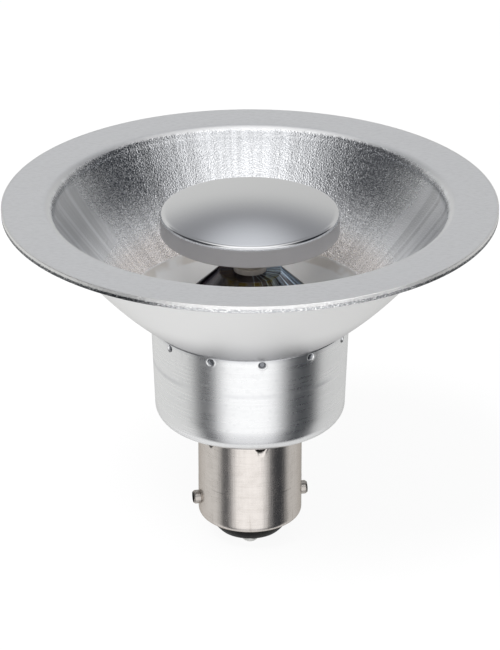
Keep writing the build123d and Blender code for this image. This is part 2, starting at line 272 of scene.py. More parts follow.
class Spot:
    """The shaded point in millimetres and its place round the lamp's axis."""

    def __init__(self, recipe: Recipe) -> None:
        """Reads the point, its radius and its side, which is x / radius."""
        self.recipe = recipe
        self.place = recipe.place()
        self.x, self.y, self.z = recipe.axes(self.place)
        self.radius = (self.x * self.x + self.y * self.y) ** 0.5
        self.side = self.x * self.radius ** -1.0

    def radial(self, turns: float, along: float) -> Value:
        """Vector for marks that run straight down a slope.

        Args:
            turns: Scale of its first two numbers, x and y over the radius.
            along: Scale of its third number, the radius.

        Returns:
            The vector.
        """
        depth = self.y * turns * self.radius ** -1.0
        return self.recipe.vector(self.side * turns, depth, self.radius * along)


class Finish:
    """A surface finish: a name and the recipe that paints it."""

    name: str

    def paint(self, recipe: Recipe) -> Value:
        """Adds the finish's nodes.

        Args:
            recipe: The tree they go into.

        Returns:
            The shader.
        """
        raise NotImplementedError

    def material(self) -> bpy.types.Material:
        """Makes the material, or returns the one already made for this finish.

        Returns:
            The material.
        """
        made = bpy.data.materials.get(self.name)
        if made is None:
            made = bpy.data.materials.new(self.name)
            made.use_nodes = True
            recipe = Recipe(made.node_tree)
            recipe.finish(self.paint(recipe))
        return made


@dataclass(frozen=True)
class SheetZones:
    """Masks of the pressed sheet, each 1 where its zone is.

    Attributes:
        inside: The side that faces the light.
        bend: The bend between bowl and rim.
        rim: The flat rim.
        bowl: The stippled bowl.
        low: The bowl's lower part, which fades out upwards.
        ends: The bowl's left and right ends.
        edge: The sheet's cut edge.
        lower: The lower part of that edge.
        turned: The left and right of that edge, where its lower part gets a painted dark reflection.
    """

    inside: Value
    bend: Value
    rim: Value
    bowl: Value
    low: Value
    ends: Value
    edge: Value
    lower: Value
    turned: Value


@dataclass(frozen=True)
class PressedSheet(Finish):
    """Pressed aluminium: matt rim, stippled bowl, satin lower zone, matt outside with painted shade near the cup, raw
    edge with a painted dark reflection low at its left and right.

    The attribute "mark" is 1 on the side that faces the light.
    """

    name: str = "pressed_aluminium"
    rim_r: float = 35.0
    bend_r: float = 29.1
    bowl_r: float = 27.9
    stipple_r: float = 16.9
    low_r: Range = (19.5, 25.5)
    throat_z: Range = (50.3, 52.4)
    sheared_z: float = 52.55
    relief_depth: float = 0.060
    throat_tilt: float = 6.0
    rim_colour: Colour = (0.955, 0.96, 0.97)
    brushed_colour: Colour = (0.62, 0.62, 0.63)
    bend_colour: Colour = (0.85, 0.855, 0.86)
    bowl_colour: Colour = (0.92, 0.93, 0.95)
    warm_colour: Colour = (0.92, 0.86, 0.83)
    stain_colour: Colour = (0.70, 0.67, 0.64)
    polish_colour: Colour = (0.86, 0.86, 0.865)
    outside_colour: Colour = (0.93, 0.93, 0.925)
    # Painted shade: the outside darkens to this colour towards the cup.
    painted_shade_colour: Colour = (0.58, 0.58, 0.585)
    sheared_colour: Colour = (0.50, 0.51, 0.53)
    # Painted dark reflection on the lower part of the edge at the left and right.
    painted_dark_reflection_colour: Colour = (0.09, 0.095, 0.105)

    def zones(self, spot: Spot, glints: Value) -> SheetZones:
        """Works out the zones.

        Args:
            spot: The shaded point.
            glints: Noise that makes the borders on the edge uneven.

        Returns:
            The masks by radius, height and side.
        """
        radius, side, inside = spot.radius, spot.side, spot.recipe.attribute("mark")
        uneven = radius + 0.5 * spot.recipe.noise(spot.place, 1.2)
        stippled = inside * radius.above(self.stipple_r, self.stipple_r + 0.3)
        return SheetZones(
            inside=inside,
            bend=inside * radius.above(self.bowl_r - 0.5, self.bowl_r - 0.1),
            rim=inside * radius.above(self.bowl_r - 0.1, self.bend_r + 0.3),
            bowl=stippled * (1.0 - uneven.above(self.bowl_r + 0.3, self.bowl_r + 0.7)),
            low=inside * (1.0 - radius.above(*self.low_r)),
            ends=abs(side).above(0.78, 0.96) * radius.above(19.5, 23.0),
            edge=radius.above(self.rim_r - 0.10, self.rim_r - 0.06),
            lower=1.0 - (spot.z + 0.25 * glints).above(self.sheared_z - 0.05, self.sheared_z + 0.15),
            turned=(side * -1.0).above(0.27, 0.48) + side.above(0.54, 0.74))

    def colour(self, spot: Spot, zones: SheetZones, streaks: Value, glints: Value) -> Value:
        """Colours the zones one over the other.

        Args:
            spot: The shaded point.
            zones: The sheet's zones.
            streaks: Noise that runs down the bowl.
            glints: Noise on the edge.

        Returns:
            The colour.
        """
        recipe, place, radius, bowl = spot.recipe, spot.place, spot.radius, zones.bowl
        # Painted shade: the outside darkens towards the cup, where the bowl meets it.
        outside = recipe.blend(1.0 - radius.above(14.4, 21.5), self.outside_colour, self.painted_shade_colour)
        stained = radius.around(self.stipple_r - 0.5, 0.4, 0.7) * recipe.noise(place, 0.25).above(0.40, 0.60)
        warmth = radius.around(self.stipple_r + 1.2, 0.6, 3.4)
        brushed = recipe.noise(recipe.stretched(place, 0.8, 3.0, 1.0), 1.6, 2.0)
        colour = recipe.blend(zones.inside, outside, self.polish_colour)
        colour = recipe.blend(zones.bend, colour, self.bend_colour)
        colour = recipe.blend(zones.inside * stained, colour, self.stain_colour)
        colour = recipe.blend(bowl, colour, recipe.blend(0.8 * warmth, self.bowl_colour, self.warm_colour))
        colour = recipe.blend(zones.rim, colour, self.rim_colour)
        colour = recipe.blend(0.16 * zones.rim * brushed.above(0.40, 0.66), colour, self.brushed_colour)

        panels = recipe.noise(spot.radial(11.0, 0.03), 1.0, 1.0).above(0.46, 0.54)
        streaked = (0.18 - 0.10 * zones.ends) * streaks.above(0.35, 0.65) - 0.05
        colour = recipe.node("ShaderNodeVectorMath", {"operation": "SCALE"},
                             {0: colour, "Scale": 1.0 - bowl * streaked - 0.16 * bowl * zones.ends * panels})

        sheared = zones.edge * (1.0 - (spot.z + 0.3 * glints).above(self.sheared_z, self.sheared_z + 0.2))
        colour = recipe.blend(sheared * (1.0 - glints.above(0.52, 0.62)), colour, self.sheared_colour)
        # Painted reflection: the lower part of the edge is dark at the left and right, as if it mirrored dark
        # surroundings there.
        painted_dark_edge = zones.edge * zones.lower * zones.turned * (1.0 - 0.5 * glints.above(0.54, 0.64))
        return recipe.blend(painted_dark_edge, colour, self.painted_dark_reflection_colour)

    def height(self, spot: Spot, zones: SheetZones, streaks: Value) -> Value:
        """Adds up the relief: stipple, wrinkles low in the bowl, a fine grain, the ragged edge and the throat.

        Args:
            spot: The shaded point.
            zones: The sheet's zones.
            streaks: Noise that runs down the bowl.

        Returns:
            The height; the throat's part tilts what it mirrors upwards.
        """
        recipe, ends = spot.recipe, zones.ends
        stipple = recipe.noise(recipe.stretched(spot.place, 1.0, 1.0, 0.8), 5.2, 1.0, 0.6)
        wrinkles = recipe.noise(spot.radial(16.0, 3.4), 1.0, 1.0)
        fine = recipe.noise(spot.place, 7.0, 1.0)
        ragged = recipe.noise(recipe.stretched(spot.place, 1.0, 1.0, 0.6), 2.6, 2.0, 0.7)
        bowl = stipple * (1.3 - 0.35 * ends) + 1.4 * zones.low * wrinkles + (0.15 - 0.13 * ends) * streaks
        throat = self.throat_tilt * spot.z.above(*self.throat_z)
        return zones.bowl * bowl + 0.05 * fine + 1.3 * zones.edge * ragged - throat

    def paint(self, recipe: Recipe) -> Value:
        """Blends the zones; the bowl is smoothest, and sparks on the edge are less metallic."""
        spot = Spot(recipe)
        glints = recipe.noise(recipe.stretched(spot.place, 1.0, 1.0, 2.0), 4.0, 1.0)
        streaks = recipe.noise(spot.radial(26.0, 0.04), 1.0, 2.0, 0.6)
        grains = recipe.noise(spot.place, 4.6, 1.0).above(0.48, 0.62)
        zones = self.zones(spot, glints)
        coarse = 0.26 * grains * (1.0 - 0.6 * zones.ends)
        rough = 0.40 - 0.04 * zones.bend + 0.12 * zones.rim - 0.16 * zones.edge * zones.lower
        rough = rough - zones.bowl * (0.33 - coarse - 0.13 * zones.low - 0.24 * zones.ends)
        sparks = (1.0 - zones.turned) * (0.24 * spot.side.above(0.12, 0.34) + 0.36 * glints.above(0.56, 0.64))
        metal = 1.0 - zones.low * (0.21 - 0.05 * spot.side) - zones.edge * sparks
        normal = recipe.relief(self.height(spot, zones, streaks), self.relief_depth)
        return recipe.surface(self.colour(spot, zones, streaks, glints), rough, normal, metal)


@dataclass(frozen=True)
class TurnedAluminium(Finish):
    """Bright turned metal: fine grooves round the axis, a faint ring line, painted shade in the dimples and painted
    shade towards the mouth.

    The attribute "mark" is 1 at the bottom of a dimple.
    """

    name: str = "turned_aluminium"
    colour: Colour = (0.90, 0.905, 0.91)
    stain: Colour = (0.62, 0.63, 0.66)
    # Painted shade at the bottom of each dimple.
    painted_pit_shade: Colour = (0.24, 0.25, 0.27)
    roughness: float = 0.24
    ring_z: float = 29.1
    mouth_z: float = 34.9
    rolled: float = 0.55
    rolled_z: Range = (18.2, 23.6)

    def paint(self, recipe: Recipe) -> Value:
        """Fine grooves are noise that is stretched round the axis."""
        place = recipe.place()
        _, _, z = recipe.axes(place)
        grooves = recipe.noise(recipe.stretched(place, 0.09, 0.09, 3.2), 1.0, 1.0, 0.6)
        broad = recipe.noise(recipe.stretched(place, 0.05, 0.05, 0.9), 1.0, 2.0)
        spots = recipe.noise(place, 1.6, 3.0, 0.6).above(0.50, 0.75)
        ring = z.around(self.ring_z, 0.05, 0.55) * recipe.noise(place, 0.12, 1.0).above(0.35, 0.6)
        lines = grooves.above(0.50, 0.72)
        # Painted shade: the cup darkens towards its mouth, under the bowl; it is added to the stains below.
        mouth = z.above(self.mouth_z - 0.9, self.mouth_z)
        stained = 0.12 * broad + 0.03 * lines + 0.40 * ring + 0.10 * spots + 0.50 * mouth
        colour = recipe.blend(stained, self.colour, self.stain)
        # Painted shade: the dimples darken towards their bottoms.
        colour = recipe.blend(recipe.attribute("mark").above(0.25, 0.80), colour, self.painted_pit_shade)
        rough = self.roughness + 0.08 * grooves + 0.05 * spots + 0.05 * ring
        grain = 0.0011 * grooves + 0.0006 * recipe.noise(place, 5.0)
        normal = recipe.relief(grain + self.rolled * z.above(*self.rolled_z), 1.0)
        return recipe.surface(colour, rough, normal)


@dataclass(frozen=True)
class PlatedNickel(Finish):
    """Warm nickel plate on a drawn tube: faint drawing marks, handling scratches and a step line.

    The attribute "mark" is 1 at the bottom of a stake or of a pin's hollow, where shade is painted.
    """

    name: str = "nickel_plate"
    colour: Colour = (0.765, 0.72, 0.685)
    stain: Colour = (0.46, 0.42, 0.38)
    tint: Colour = (0.66, 0.63, 0.60)
    # Painted shade at the bottom of each stake and pin hollow.
    painted_pit_shade: Colour = (0.03, 0.028, 0.026)
    roughness: float = 0.20
    step_z: float = 9.7
    marks_z: float = 5.6

    def paint(self, recipe: Recipe) -> Value:
        """Upright marks follow the drawing direction and finer ones run round the tube."""
        place = recipe.place()
        _, _, z = recipe.axes(place)
        upright = recipe.noise(recipe.stretched(place, 2.6, 2.6, 0.10), 1.0, 3.0, 0.6)
        around = recipe.noise(recipe.stretched(place, 0.3, 0.3, 6.0), 1.0, 2.0)
        cloud = recipe.noise(place, 0.7, 4.0, 0.6).above(0.40, 0.80)
        grain = recipe.noise(place, 6.5, 2.0)
        step = z.around(self.step_z, 0.03, 0.14)
        marks = (1.0 - z.above(self.marks_z, self.marks_z + 1.6)) * upright.above(0.55, 0.70)
        lines = 0.08 * upright.above(0.42, 0.68) + 0.12 * around.above(0.5, 0.7)
        stained = 0.16 * cloud + 0.12 * step + 0.26 * marks + lines
        colour = recipe.blend(stained, self.colour, self.stain)
        # Painted shade: stakes and pin hollows darken towards their bottoms.
        colour = recipe.blend(recipe.attribute("mark").above(0.1, 0.6), colour, self.painted_pit_shade)
        rough = self.roughness + 0.05 * cloud + 0.05 * around + 0.04 * grain
        normal = recipe.relief(0.9 * upright + 0.7 * around + 0.5 * grain, 0.010)
        return recipe.surface(colour, rough, normal, more={"Specular Tint": self.tint})


@dataclass(frozen=True)
class SatinDisc(Finish):
    """Satin metal disc whose side band is duller and a little warm."""

    name: str = "satin_disc"
    face: Colour = (0.79, 0.795, 0.805)
    band: Colour = (0.57, 0.555, 0.553)
    speck: Colour = (0.6, 0.6, 0.62)
    face_z: float = 50.92

    def paint(self, recipe: Recipe) -> Value:
        """The face takes in the rounded edge above the band; both have a fine grain."""
        spot = Spot(recipe)
        face = spot.z.above(self.face_z, self.face_z + 0.08)
        grain = recipe.noise(spot.place, 6.0, 2.0, 0.6)
        rings = recipe.noise(recipe.vector(spot.radius * 5.0, spot.x * 0.05, spot.y * 0.05), 1.0, 2.0)
        colour = recipe.blend(face, self.band, self.face)
        colour = recipe.blend(0.06 * grain, colour, self.speck)
        rough = 0.42 - 0.34 * face + 0.03 * grain
        return recipe.surface(colour, rough, recipe.relief(0.4 * grain + 0.6 * rings, 0.0012))


@dataclass(frozen=True)
class DarkMirror(Finish):
    """Dark chrome on the cone with a painted reflection: a lighter middle, soft blue-white streaks down its slope on
    the right, and warm patches.
    """

    name: str = "dark_mirror"
    colour: Colour = (0.115, 0.112, 0.115)
    # The next three colours paint a reflection: a lighter middle, blue-white streaks and warm patches.
    middle: Colour = (0.17, 0.158, 0.16)
    reflected_streak_colour: Colour = (0.50, 0.60, 0.70)
    warm: Colour = (0.17, 0.115, 0.105)
    rim_tint: Colour = (0.15, 0.15, 0.16)

    def paint(self, recipe: Recipe) -> Value:
        """Streaks are noise on the direction from the axis, so they run straight down the slope."""
        spot = Spot(recipe)
        streaks = recipe.noise(spot.radial(9.0, 0.12), 1.0, 3.0, 0.65)
        # Painted reflection: lighter in the middle, blue-white streaks on the right and warm patches between the
        # streaks.
        bright = streaks.above(0.46, 0.62) * spot.side.above(-0.05, 0.15)
        colour = recipe.blend(spot.side.around(0.05, 0.15, 0.60), self.colour, self.middle)
        colour = recipe.blend(bright, colour, self.reflected_streak_colour)
        colour = recipe.blend(0.5 * (1.0 - streaks.above(0.30, 0.44)), colour, self.warm)
        rough = 0.10 + 0.14 * streaks
        return recipe.surface(colour, rough, recipe.relief(streaks, 0.03), more={"Specular Tint": self.rim_tint})


@dataclass(frozen=True)
class PlainMetal(Finish):
    """Metal of the inner hardware with a brushed or cast grain.

    The grain has one scale across the axis and another along it.
    """

    name: str
    colour: Colour
    shade: Colour
    roughness: float = 0.3
    grain: Range = (3.0, 3.0)
    depth: float = 0.006

    def paint(self, recipe: Recipe) -> Value:
        """One grain for the shade and the relief."""
        place = recipe.place()
        across, along = self.grain
        grain = recipe.noise(recipe.stretched(place, across, across, along), 1.0, 3.0, 0.6)
        colour = recipe.blend(grain.above(0.35, 0.75), self.colour, self.shade)
        rough = self.roughness + 0.15 * grain
        return recipe.surface(colour, rough, recipe.relief(grain, self.depth))


@dataclass(frozen=True)
class Moulding(Finish):
    """Plastic, glass, ceramic or rubber with a fine surface grain and cloudy shade."""

    name: str
    colour: Colour
    shade: Colour
    roughness: float = 0.4
    scale: float = 3.0
    depth: float = 0.008
    coat: float = 0.0
    gloss: float = 0.5

    def paint(self, recipe: Recipe) -> Value:
        """One coarse cloud for the shade and one fine grain for the relief."""
        place = recipe.place()
        cloud = recipe.noise(place, self.scale * 0.2, 3.0)
        grain = recipe.noise(place, self.scale, 3.0, 0.6)
        colour = recipe.blend(cloud.above(0.35, 0.70), self.colour, self.shade)
        rough = self.roughness + 0.12 * grain
        gloss = {"Coat Weight": self.coat, "Specular IOR Level": self.gloss}
        return recipe.surface(colour, rough, recipe.relief(grain, self.depth), 0.0, gloss)


@dataclass(frozen=True)
class LampBoard(Finish):
    """Lacquered printed board with copper tracks that show faintly."""

    name: str
    lacquer: Colour
    track: Colour

    def paint(self, recipe: Recipe) -> Value:
        """Tracks are the thin borders between random cells."""
        place = recipe.place()
        borders = recipe.node("ShaderNodeTexVoronoi", {"feature": "DISTANCE_TO_EDGE"},
                              {"Vector": recipe.stretched(place, 1.0, 1.0, 0.0), "Scale": 0.35}, "Distance")
        track = 1.0 - borders.above(0.05, 0.08)
        grain = recipe.noise(place, 4.0, 2.0)
        colour = recipe.blend(track, self.lacquer, self.track)
        return recipe.surface(colour, 0.28 + 0.12 * grain, recipe.relief(track + 0.3 * grain, 0.02), 0.0)


def joined(*parts: np.ndarray) -> np.ndarray:
    """Puts runs of (radius, height) points end to end and drops repeated points.

    Args:
        *parts: Arrays of points, each of shape (n, 2).

    Returns:
        One array of points.
    """
    points = np.concatenate([np.atleast_2d(np.asarray(part, float)) for part in parts])
    step = np.linalg.norm(np.diff(points, axis=0, prepend=points[:1] - 1.0), axis=1)
    return points[step > 1e-6]


def tangent_arc(start: Point, heading: float, radius: float, turn: float, steps: int) -> np.ndarray:
    """Arc that leaves a point along a heading: the heading grows evenly with the way gone.

    Args:
        start: First point.
        heading: Direction there, in radians from the radius axis.
        radius: Radius of the arc.
        turn: Change of heading, positive to the left.
        steps: Number of chords.

    Returns:
        The arc's points.
    """
    headings = heading + turn * np.linspace(0.0, 1.0, steps + 1)
    side = math.copysign(radius, turn)
    return np.stack([start[0] + side * (np.sin(headings) - math.sin(heading)),
                     start[1] - side * (np.cos(headings) - math.cos(heading))], axis=1)


def ellipse_arc(centre: Point, half_r: float, half_z: float, first: float, last: float, steps: int) -> np.ndarray:
    """Part of an ellipse: centre + (half_r cos t, half_z sin t) for t from first to last, in radians.

    Args:
        centre: Centre of the ellipse.
        half_r: Half axis along the radius.
        half_z: Half axis along the height.
        first: First parameter.
        last: Last parameter.
        steps: Number of chords.

    Returns:
        The points.
    """
    t = np.linspace(first, last, steps + 1)
    return np.stack([centre[0] + half_r * np.cos(t), centre[1] + half_z * np.sin(t)], axis=1)


def bulged(first: Point, last: Point, radius: float, steps: int) -> np.ndarray:
    """Circular arc between two points that bulges to the right of the way between them.

    Args:
        first: First point.
        last: Last point.
        radius: Radius of the arc.
        steps: Number of chords.

    Returns:
        The points, by turning the first about the centre.
    """
    a, b = np.array(first), np.array(last)
    chord = b - a
    half = np.linalg.norm(chord) / 2
    left = np.array([-chord[1], chord[0]]) / (2 * half)
    centre = (a + b) / 2 + left * math.sqrt(radius ** 2 - half ** 2)
    start = math.atan2(*(a - centre)[::-1])
    sweep = 2 * math.asin(half / radius)
    t = start + np.linspace(0.0, sweep, steps + 1)
    return centre + radius * np.stack([np.cos(t), np.sin(t)], axis=1)


def rounded(corners: Sequence[Sequence[float]], closed: bool = False, steps: int = 4) -> np.ndarray:
    """Rounds the corners of an outline.

    Each corner p with unit ways u and w to its neighbours becomes the curve
    p + u t (1 - s)^2 + w t s^2 with s from 0 to 1, where t is the corner's
    setback, and gets one support point on each side, SUPPORT setbacks away, so
    that the flat stretches keep flat shading.

    Args:
        corners: Rows of radius, height and setback, which is how far the rounding
            starts from its corner; 0 keeps the point.
        closed: True where the last point meets the first.
        steps: Chords of each rounding.

    Returns:
        The rounded outline.
    """
    table = np.array(corners, float)
    points, reach = table[:, :2], table[:, 2, None, None]
    before, after = np.roll(points, 1, axis=0), np.roll(points, -1, axis=0)
    if not closed:
        before[0], after[-1] = points[0] - (1.0, 0.0), points[-1] + (1.0, 0.0)
    u, w = before - points, after - points
    u /= np.linalg.norm(u, axis=1, keepdims=True)
    w /= np.linalg.norm(w, axis=1, keepdims=True)
    s = np.linspace(0.0, 1.0, steps + 1)
    near = np.concatenate([[SUPPORT], (1 - s) ** 2, [0.0]])
    far = np.concatenate([[0.0], s ** 2, [SUPPORT]])
    curve = points[:, None] + reach * (u[:, None] * near[:, None] + w[:, None] * far[:, None])
    return joined(curve.reshape(-1, 2))


def refined(outline: np.ndarray, step: float, closed: bool = False) -> np.ndarray:
    """Divides every stretch of an outline that is longer than a step into equal parts.

    Args:
        outline: Points, shape (n, 2).
        step: Longest stretch wanted.
        closed: True where the last point meets the first.

    Returns:
        The outline with the points added.
    """
    last = np.roll(outline, -1, axis=0)
    if not closed:
        last = last[:-1]
    first = outline[:len(last)]
    parts = np.maximum(1, np.ceil(np.linalg.norm(last - first, axis=1) / step)).astype(int)
    owner = np.repeat(np.arange(len(first)), parts)
    share = (np.arange(parts.sum()) - np.repeat(np.cumsum(parts) - parts, parts)) / parts[owner]
    points = first[owner] + share[:, None] * (last - first)[owner]
    return points if closed else np.concatenate([points, outline[-1:]])


def round_about(outline: np.ndarray, angles: np.ndarray) -> np.ndarray:
    """Carries an outline round the lamp's axis: (r cos a, r sin a, z).

    Args:
        outline: Points (radius, height), shape (rows, 2).
        angles: Angles in radians, shape (columns,).

    Returns:
        Grid of points, shape (rows, columns, 3).
    """
    radius = outline[:, :1]
    return np.stack(np.broadcast_arrays(radius * np.cos(angles), radius * np.sin(angles), outline[:, 1:2]), axis=-1)


def even_angles(count: int) -> np.ndarray:
    """Equal steps round the full circle, in radians."""
    return np.linspace(0.0, 2 * np.pi, count, endpoint=False)


def windowed_angles(count: int, first: float, window: float, fine: int, coarse: int) -> np.ndarray:
    """Angles that are closer together near equally spaced marks.

    Args:
        count: Number of marks.
        first: Angle of the first mark, in radians.
        window: Half width of the fine stretch.
        fine: Steps in each fine stretch.
        coarse: Steps between two fine stretches.

    Returns:
        The angles in radians.
    """
    pitch = 2 * np.pi / count
    pattern = np.concatenate([np.linspace(-window, window, fine, endpoint=False),
                              np.linspace(window, pitch - window, coarse, endpoint=False)])
    return (first + pitch * np.arange(count)[:, None] + pattern).ravel()


def wall_distance(grid: np.ndarray, marks: np.ndarray, height: float) -> np.ndarray:
    """Distance along a turned wall to the nearest mark: the hypotenuse of radius times angle and height.

    Args:
        grid: Points in millimetres, shape (rows, columns, 3).
        marks: Angles of the marks, in radians.
        height: Height of the marks.

    Returns:
        The distance of each point.
    """
    angle = np.arctan2(grid[..., 1], grid[..., 0])
    apart = np.abs((angle[..., None] - marks + np.pi) % (2 * np.pi) - np.pi).min(axis=-1)
    return np.hypot(np.hypot(grid[..., 0], grid[..., 1]) * apart, grid[..., 2] - height)


def sunk(grid: np.ndarray, depth: np.ndarray) -> np.ndarray:
    """Moves each point of a turned wall towards the axis by its depth."""
    scale = 1 - depth / np.hypot(grid[..., 0], grid[..., 1])
    return grid * np.stack([scale, scale, np.ones_like(scale)], axis=-1)


def punched(grid: np.ndarray, marks: np.ndarray, height: float, mouth: float, tip: float,
            depth: float) -> tuple[np.ndarray, np.ndarray]:
    """Presses round dents into a turned wall.

    A dent is full within the tip radius and runs out smoothly at the mouth, and
    a low burr stands round the mouth.

    Args:
        grid: Points in millimetres, shape (rows, columns, 3).
        marks: Angles of the dents, in radians.
        height: Height of the dents.
        mouth: Radius of a dent at the surface.
        tip: Radius of its floor.
        depth: Its depth.

    Returns:
        The grid with the dents pressed in, and how far each point is down its dent, from 0 to 1.
    """
    way = wall_distance(grid, marks, height)
    share = np.clip((mouth - way) / (mouth - tip), 0.0, 1.0)
    dent = depth * share * share * (3 - 2 * share)
    burr = 0.06 * depth * np.exp(-((way - mouth * 1.12) / (0.16 * mouth)) ** 2)
    return sunk(grid, dent - burr), share


@dataclass
class Skin:
    """Closed surface on one grid of points whose columns go round.

    Attributes:
        grid: Points in millimetres, shape (rows, columns, 3).
        poles: True where the first and last rows lie on the axis and close to a
            point; otherwise the last row meets the first.
        mark: Number for each row or point, kept as the attribute "mark".
    """

    grid: np.ndarray
    poles: bool = False
    mark: Optional[np.ndarray] = None

    def shell(self) -> tuple[np.ndarray, np.ndarray, np.ndarray]:
        """Joins the grid's points to faces.

        Returns:
            The points, the faces turned outwards and each point's mark.
        """
        rows, columns = self.grid.shape[:2]
        body = self.grid[1:-1] if self.poles else self.grid
        index = np.arange(body.shape[0] * columns).reshape(-1, columns)
        here, there = (index[:-1], index[1:]) if self.poles else (index, np.roll(index, -1, axis=0))
        quads = np.stack([here, np.roll(here, -1, 1), np.roll(there, -1, 1), there], axis=-1).reshape(-1, 4)
        points = body.reshape(-1, 3)
        mark = np.zeros((rows, 1)) if self.mark is None else self.mark.reshape(rows, -1)
        marks = np.broadcast_to(mark, (rows, columns))
        if self.poles:
            top, bottom = np.full(columns, len(points)), np.full(columns, len(points) + 1)
            quads = np.concatenate([quads, np.stack([top, np.roll(index[0], -1), index[0], index[0]], axis=1),
                                    np.stack([index[-1], np.roll(index[-1], -1), bottom, index[-1]], axis=1)])
            points = np.concatenate([points, self.grid[[0, -1], 0]])
            marks = np.concatenate([marks[1:-1].ravel(), marks[[0, -1], 0]])
        a, b, c, d = (points[quads[:, k]] for k in range(4))
        volume = np.einsum("ij,ij->", a, np.cross(b, c)) + np.einsum("ij,ij->", a, np.cross(c, d))
        return points, quads if volume > 0 else quads[:, ::-1], marks.ravel()

    def piece(self, name: str, finish: Finish, slot: str, *nodes: str) -> None:
        """Makes the mesh and its object and hands them to the frame.

        Args:
            name: Name of the piece.
            finish: Its finish.
            slot: The record's material slot; not used.
            *nodes: CAD nodes that it stands for.
        """
        points, faces, marks = self.shell()
        keep = faces != np.roll(faces, -1, axis=1)
        sizes = keep.sum(axis=1)
        mesh = bpy.data.meshes.new(name)
        mesh.vertices.add(len(points))
        mesh.vertices.foreach_set("co", (points * MM).astype(np.float32).ravel())
        mesh.loops.add(int(sizes.sum()))
        mesh.loops.foreach_set("vertex_index", faces[keep].astype(np.int32))
        mesh.polygons.add(len(faces))
        mesh.polygons.foreach_set("loop_start", (np.cumsum(sizes) - sizes).astype(np.int32))
        mesh.polygons.foreach_set("use_smooth", np.ones(len(faces), bool))
        mark = mesh.attributes.new("mark", "FLOAT", "POINT")
        mark.data.foreach_set("value", marks.astype(np.float32))
        mesh.update(calc_edges=True)
        mesh.materials.append(finish.material())
        made = bpy.data.objects.new(name, mesh)
        bpy.context.scene.collection.objects.link(made)
        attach(made, BODY)
        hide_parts(*nodes)
        LOG.info("%s: %d points, %d faces, stands for %s", name, len(points), len(faces), ", ".join(nodes))


@dataclass
class PressedReflector:
    """Flat rim, steep throat, parabolic bowl and neck, pressed from one sheet."""

    rim_r: float = 35.0
    rim_z: float = 53.0
    sheet: float = 1.0
    foot_r: float = 14.2
    foot_z: float = 34.9
    focal: float = 9.825
    knee_drop: float = 2.42
    throat: float = math.radians(82.0)
    bend_r: float = 0.40
    neck_r: float = 12.92
    neck_bore_r: float = 12.12
    neck_z: float = 32.6
    columns: int = 480

    def lip(self, start: Point, heading: float, bend_r: float, drop: float) -> np.ndarray:
        """Steepening wall and the bend into the rim.

        Args:
            start: Point where the parabola ends.
            heading: Its slope there, in radians.
            bend_r: Radius of the bend.
            drop: Height from the start to the rim's face.

        Returns:
            The points up to the flat rim.
        """
        steep_r = (drop - bend_r * (1 - math.cos(self.throat))) / (math.cos(heading) - math.cos(self.throat))
        steep = tangent_arc(start, heading, steep_r, self.throat - heading, 10)
        bend = tangent_arc(tuple(steep[-1]), self.throat, bend_r, -self.throat, 10)
        return joined(steep, bend)

    def outline(self) -> tuple[np.ndarray, np.ndarray]:
        """Half section of the sheet.

        The outside is a parabola and the inside lies one sheet thickness off it
        along its normal.

        Returns:
            The outline and, for each point, 1 on the side that faces the light.
        """
        knee_z = self.rim_z - self.sheet - self.knee_drop
        knee_r = math.sqrt(4 * self.focal * (knee_z - self.foot_z) + self.foot_r ** 2)
        outer, heading = self.parabola(np.linspace(self.foot_r, knee_r, 22), 0.0)
        inner, _ = self.parabola(np.linspace(self.neck_bore_r + 1.0, knee_r, 44), self.sheet)
        inner = inner[inner[:, 0] > self.neck_bore_r + 0.15]
        outer_lip = self.lip(tuple(outer[-1]), heading, self.bend_r, self.knee_drop)
        inner_lip = self.lip(tuple(inner[-1]), heading, self.bend_r + self.sheet, self.rim_z - inner[-1, 1])
        under_z, flat_r = self.rim_z - self.sheet, self.rim_r - 0.4
        under = refined(np.array([outer_lip[-1], (flat_r, under_z)]), 0.8)
        over = refined(np.array([(flat_r, self.rim_z), inner_lip[-1]]), 0.8)
        rim = rounded([(self.rim_r - 0.5, under_z, 0.0), (self.rim_r, under_z, 0.10),
                       (self.rim_r, self.rim_z, 0.07), (self.rim_r - 0.5, self.rim_z, 0.0)])
        rim = refined(rim[1:-1], 0.16)
        neck = refined(np.array([(self.neck_bore_r, inner[0, 1] - 0.12), (self.neck_bore_r, self.neck_z),
                                 (self.neck_r, self.neck_z), (self.neck_r, self.foot_z), tuple(outer[0])]), 0.6)
        upper = joined(over, inner_lip[::-1], inner[::-1])
        lower = joined(neck, outer, outer_lip, under, rim)
        return np.concatenate([upper, lower]), np.concatenate([np.ones(len(upper)), np.zeros(len(lower))])

    def parabola(self, radius: np.ndarray, offset: float) -> tuple[np.ndarray, float]:
        """Points at an offset along the normal of z = foot_z + (r^2 - foot_r^2) / (4 focal).

        Args:
            radius: Radii on the parabola itself.
            offset: How far the points lie off it, to the inside.

        Returns:
            The points, and the slope at the last one in radians.
        """
        height = self.foot_z + (radius ** 2 - self.foot_r ** 2) / (4 * self.focal)
        slope = np.arctan(radius / (2 * self.focal))
        return np.stack([radius - offset * np.sin(slope), height + offset * np.cos(slope)], axis=1), slope[-1]

    def build(self) -> None:
        """Builds and dresses the reflector."""
        outline, mark = self.outline()
        skin = Skin(round_about(outline, even_angles(self.columns)), mark=mark)
        skin.piece("reflector_sheet", PressedSheet(), "reflector_sheet", "reflector")


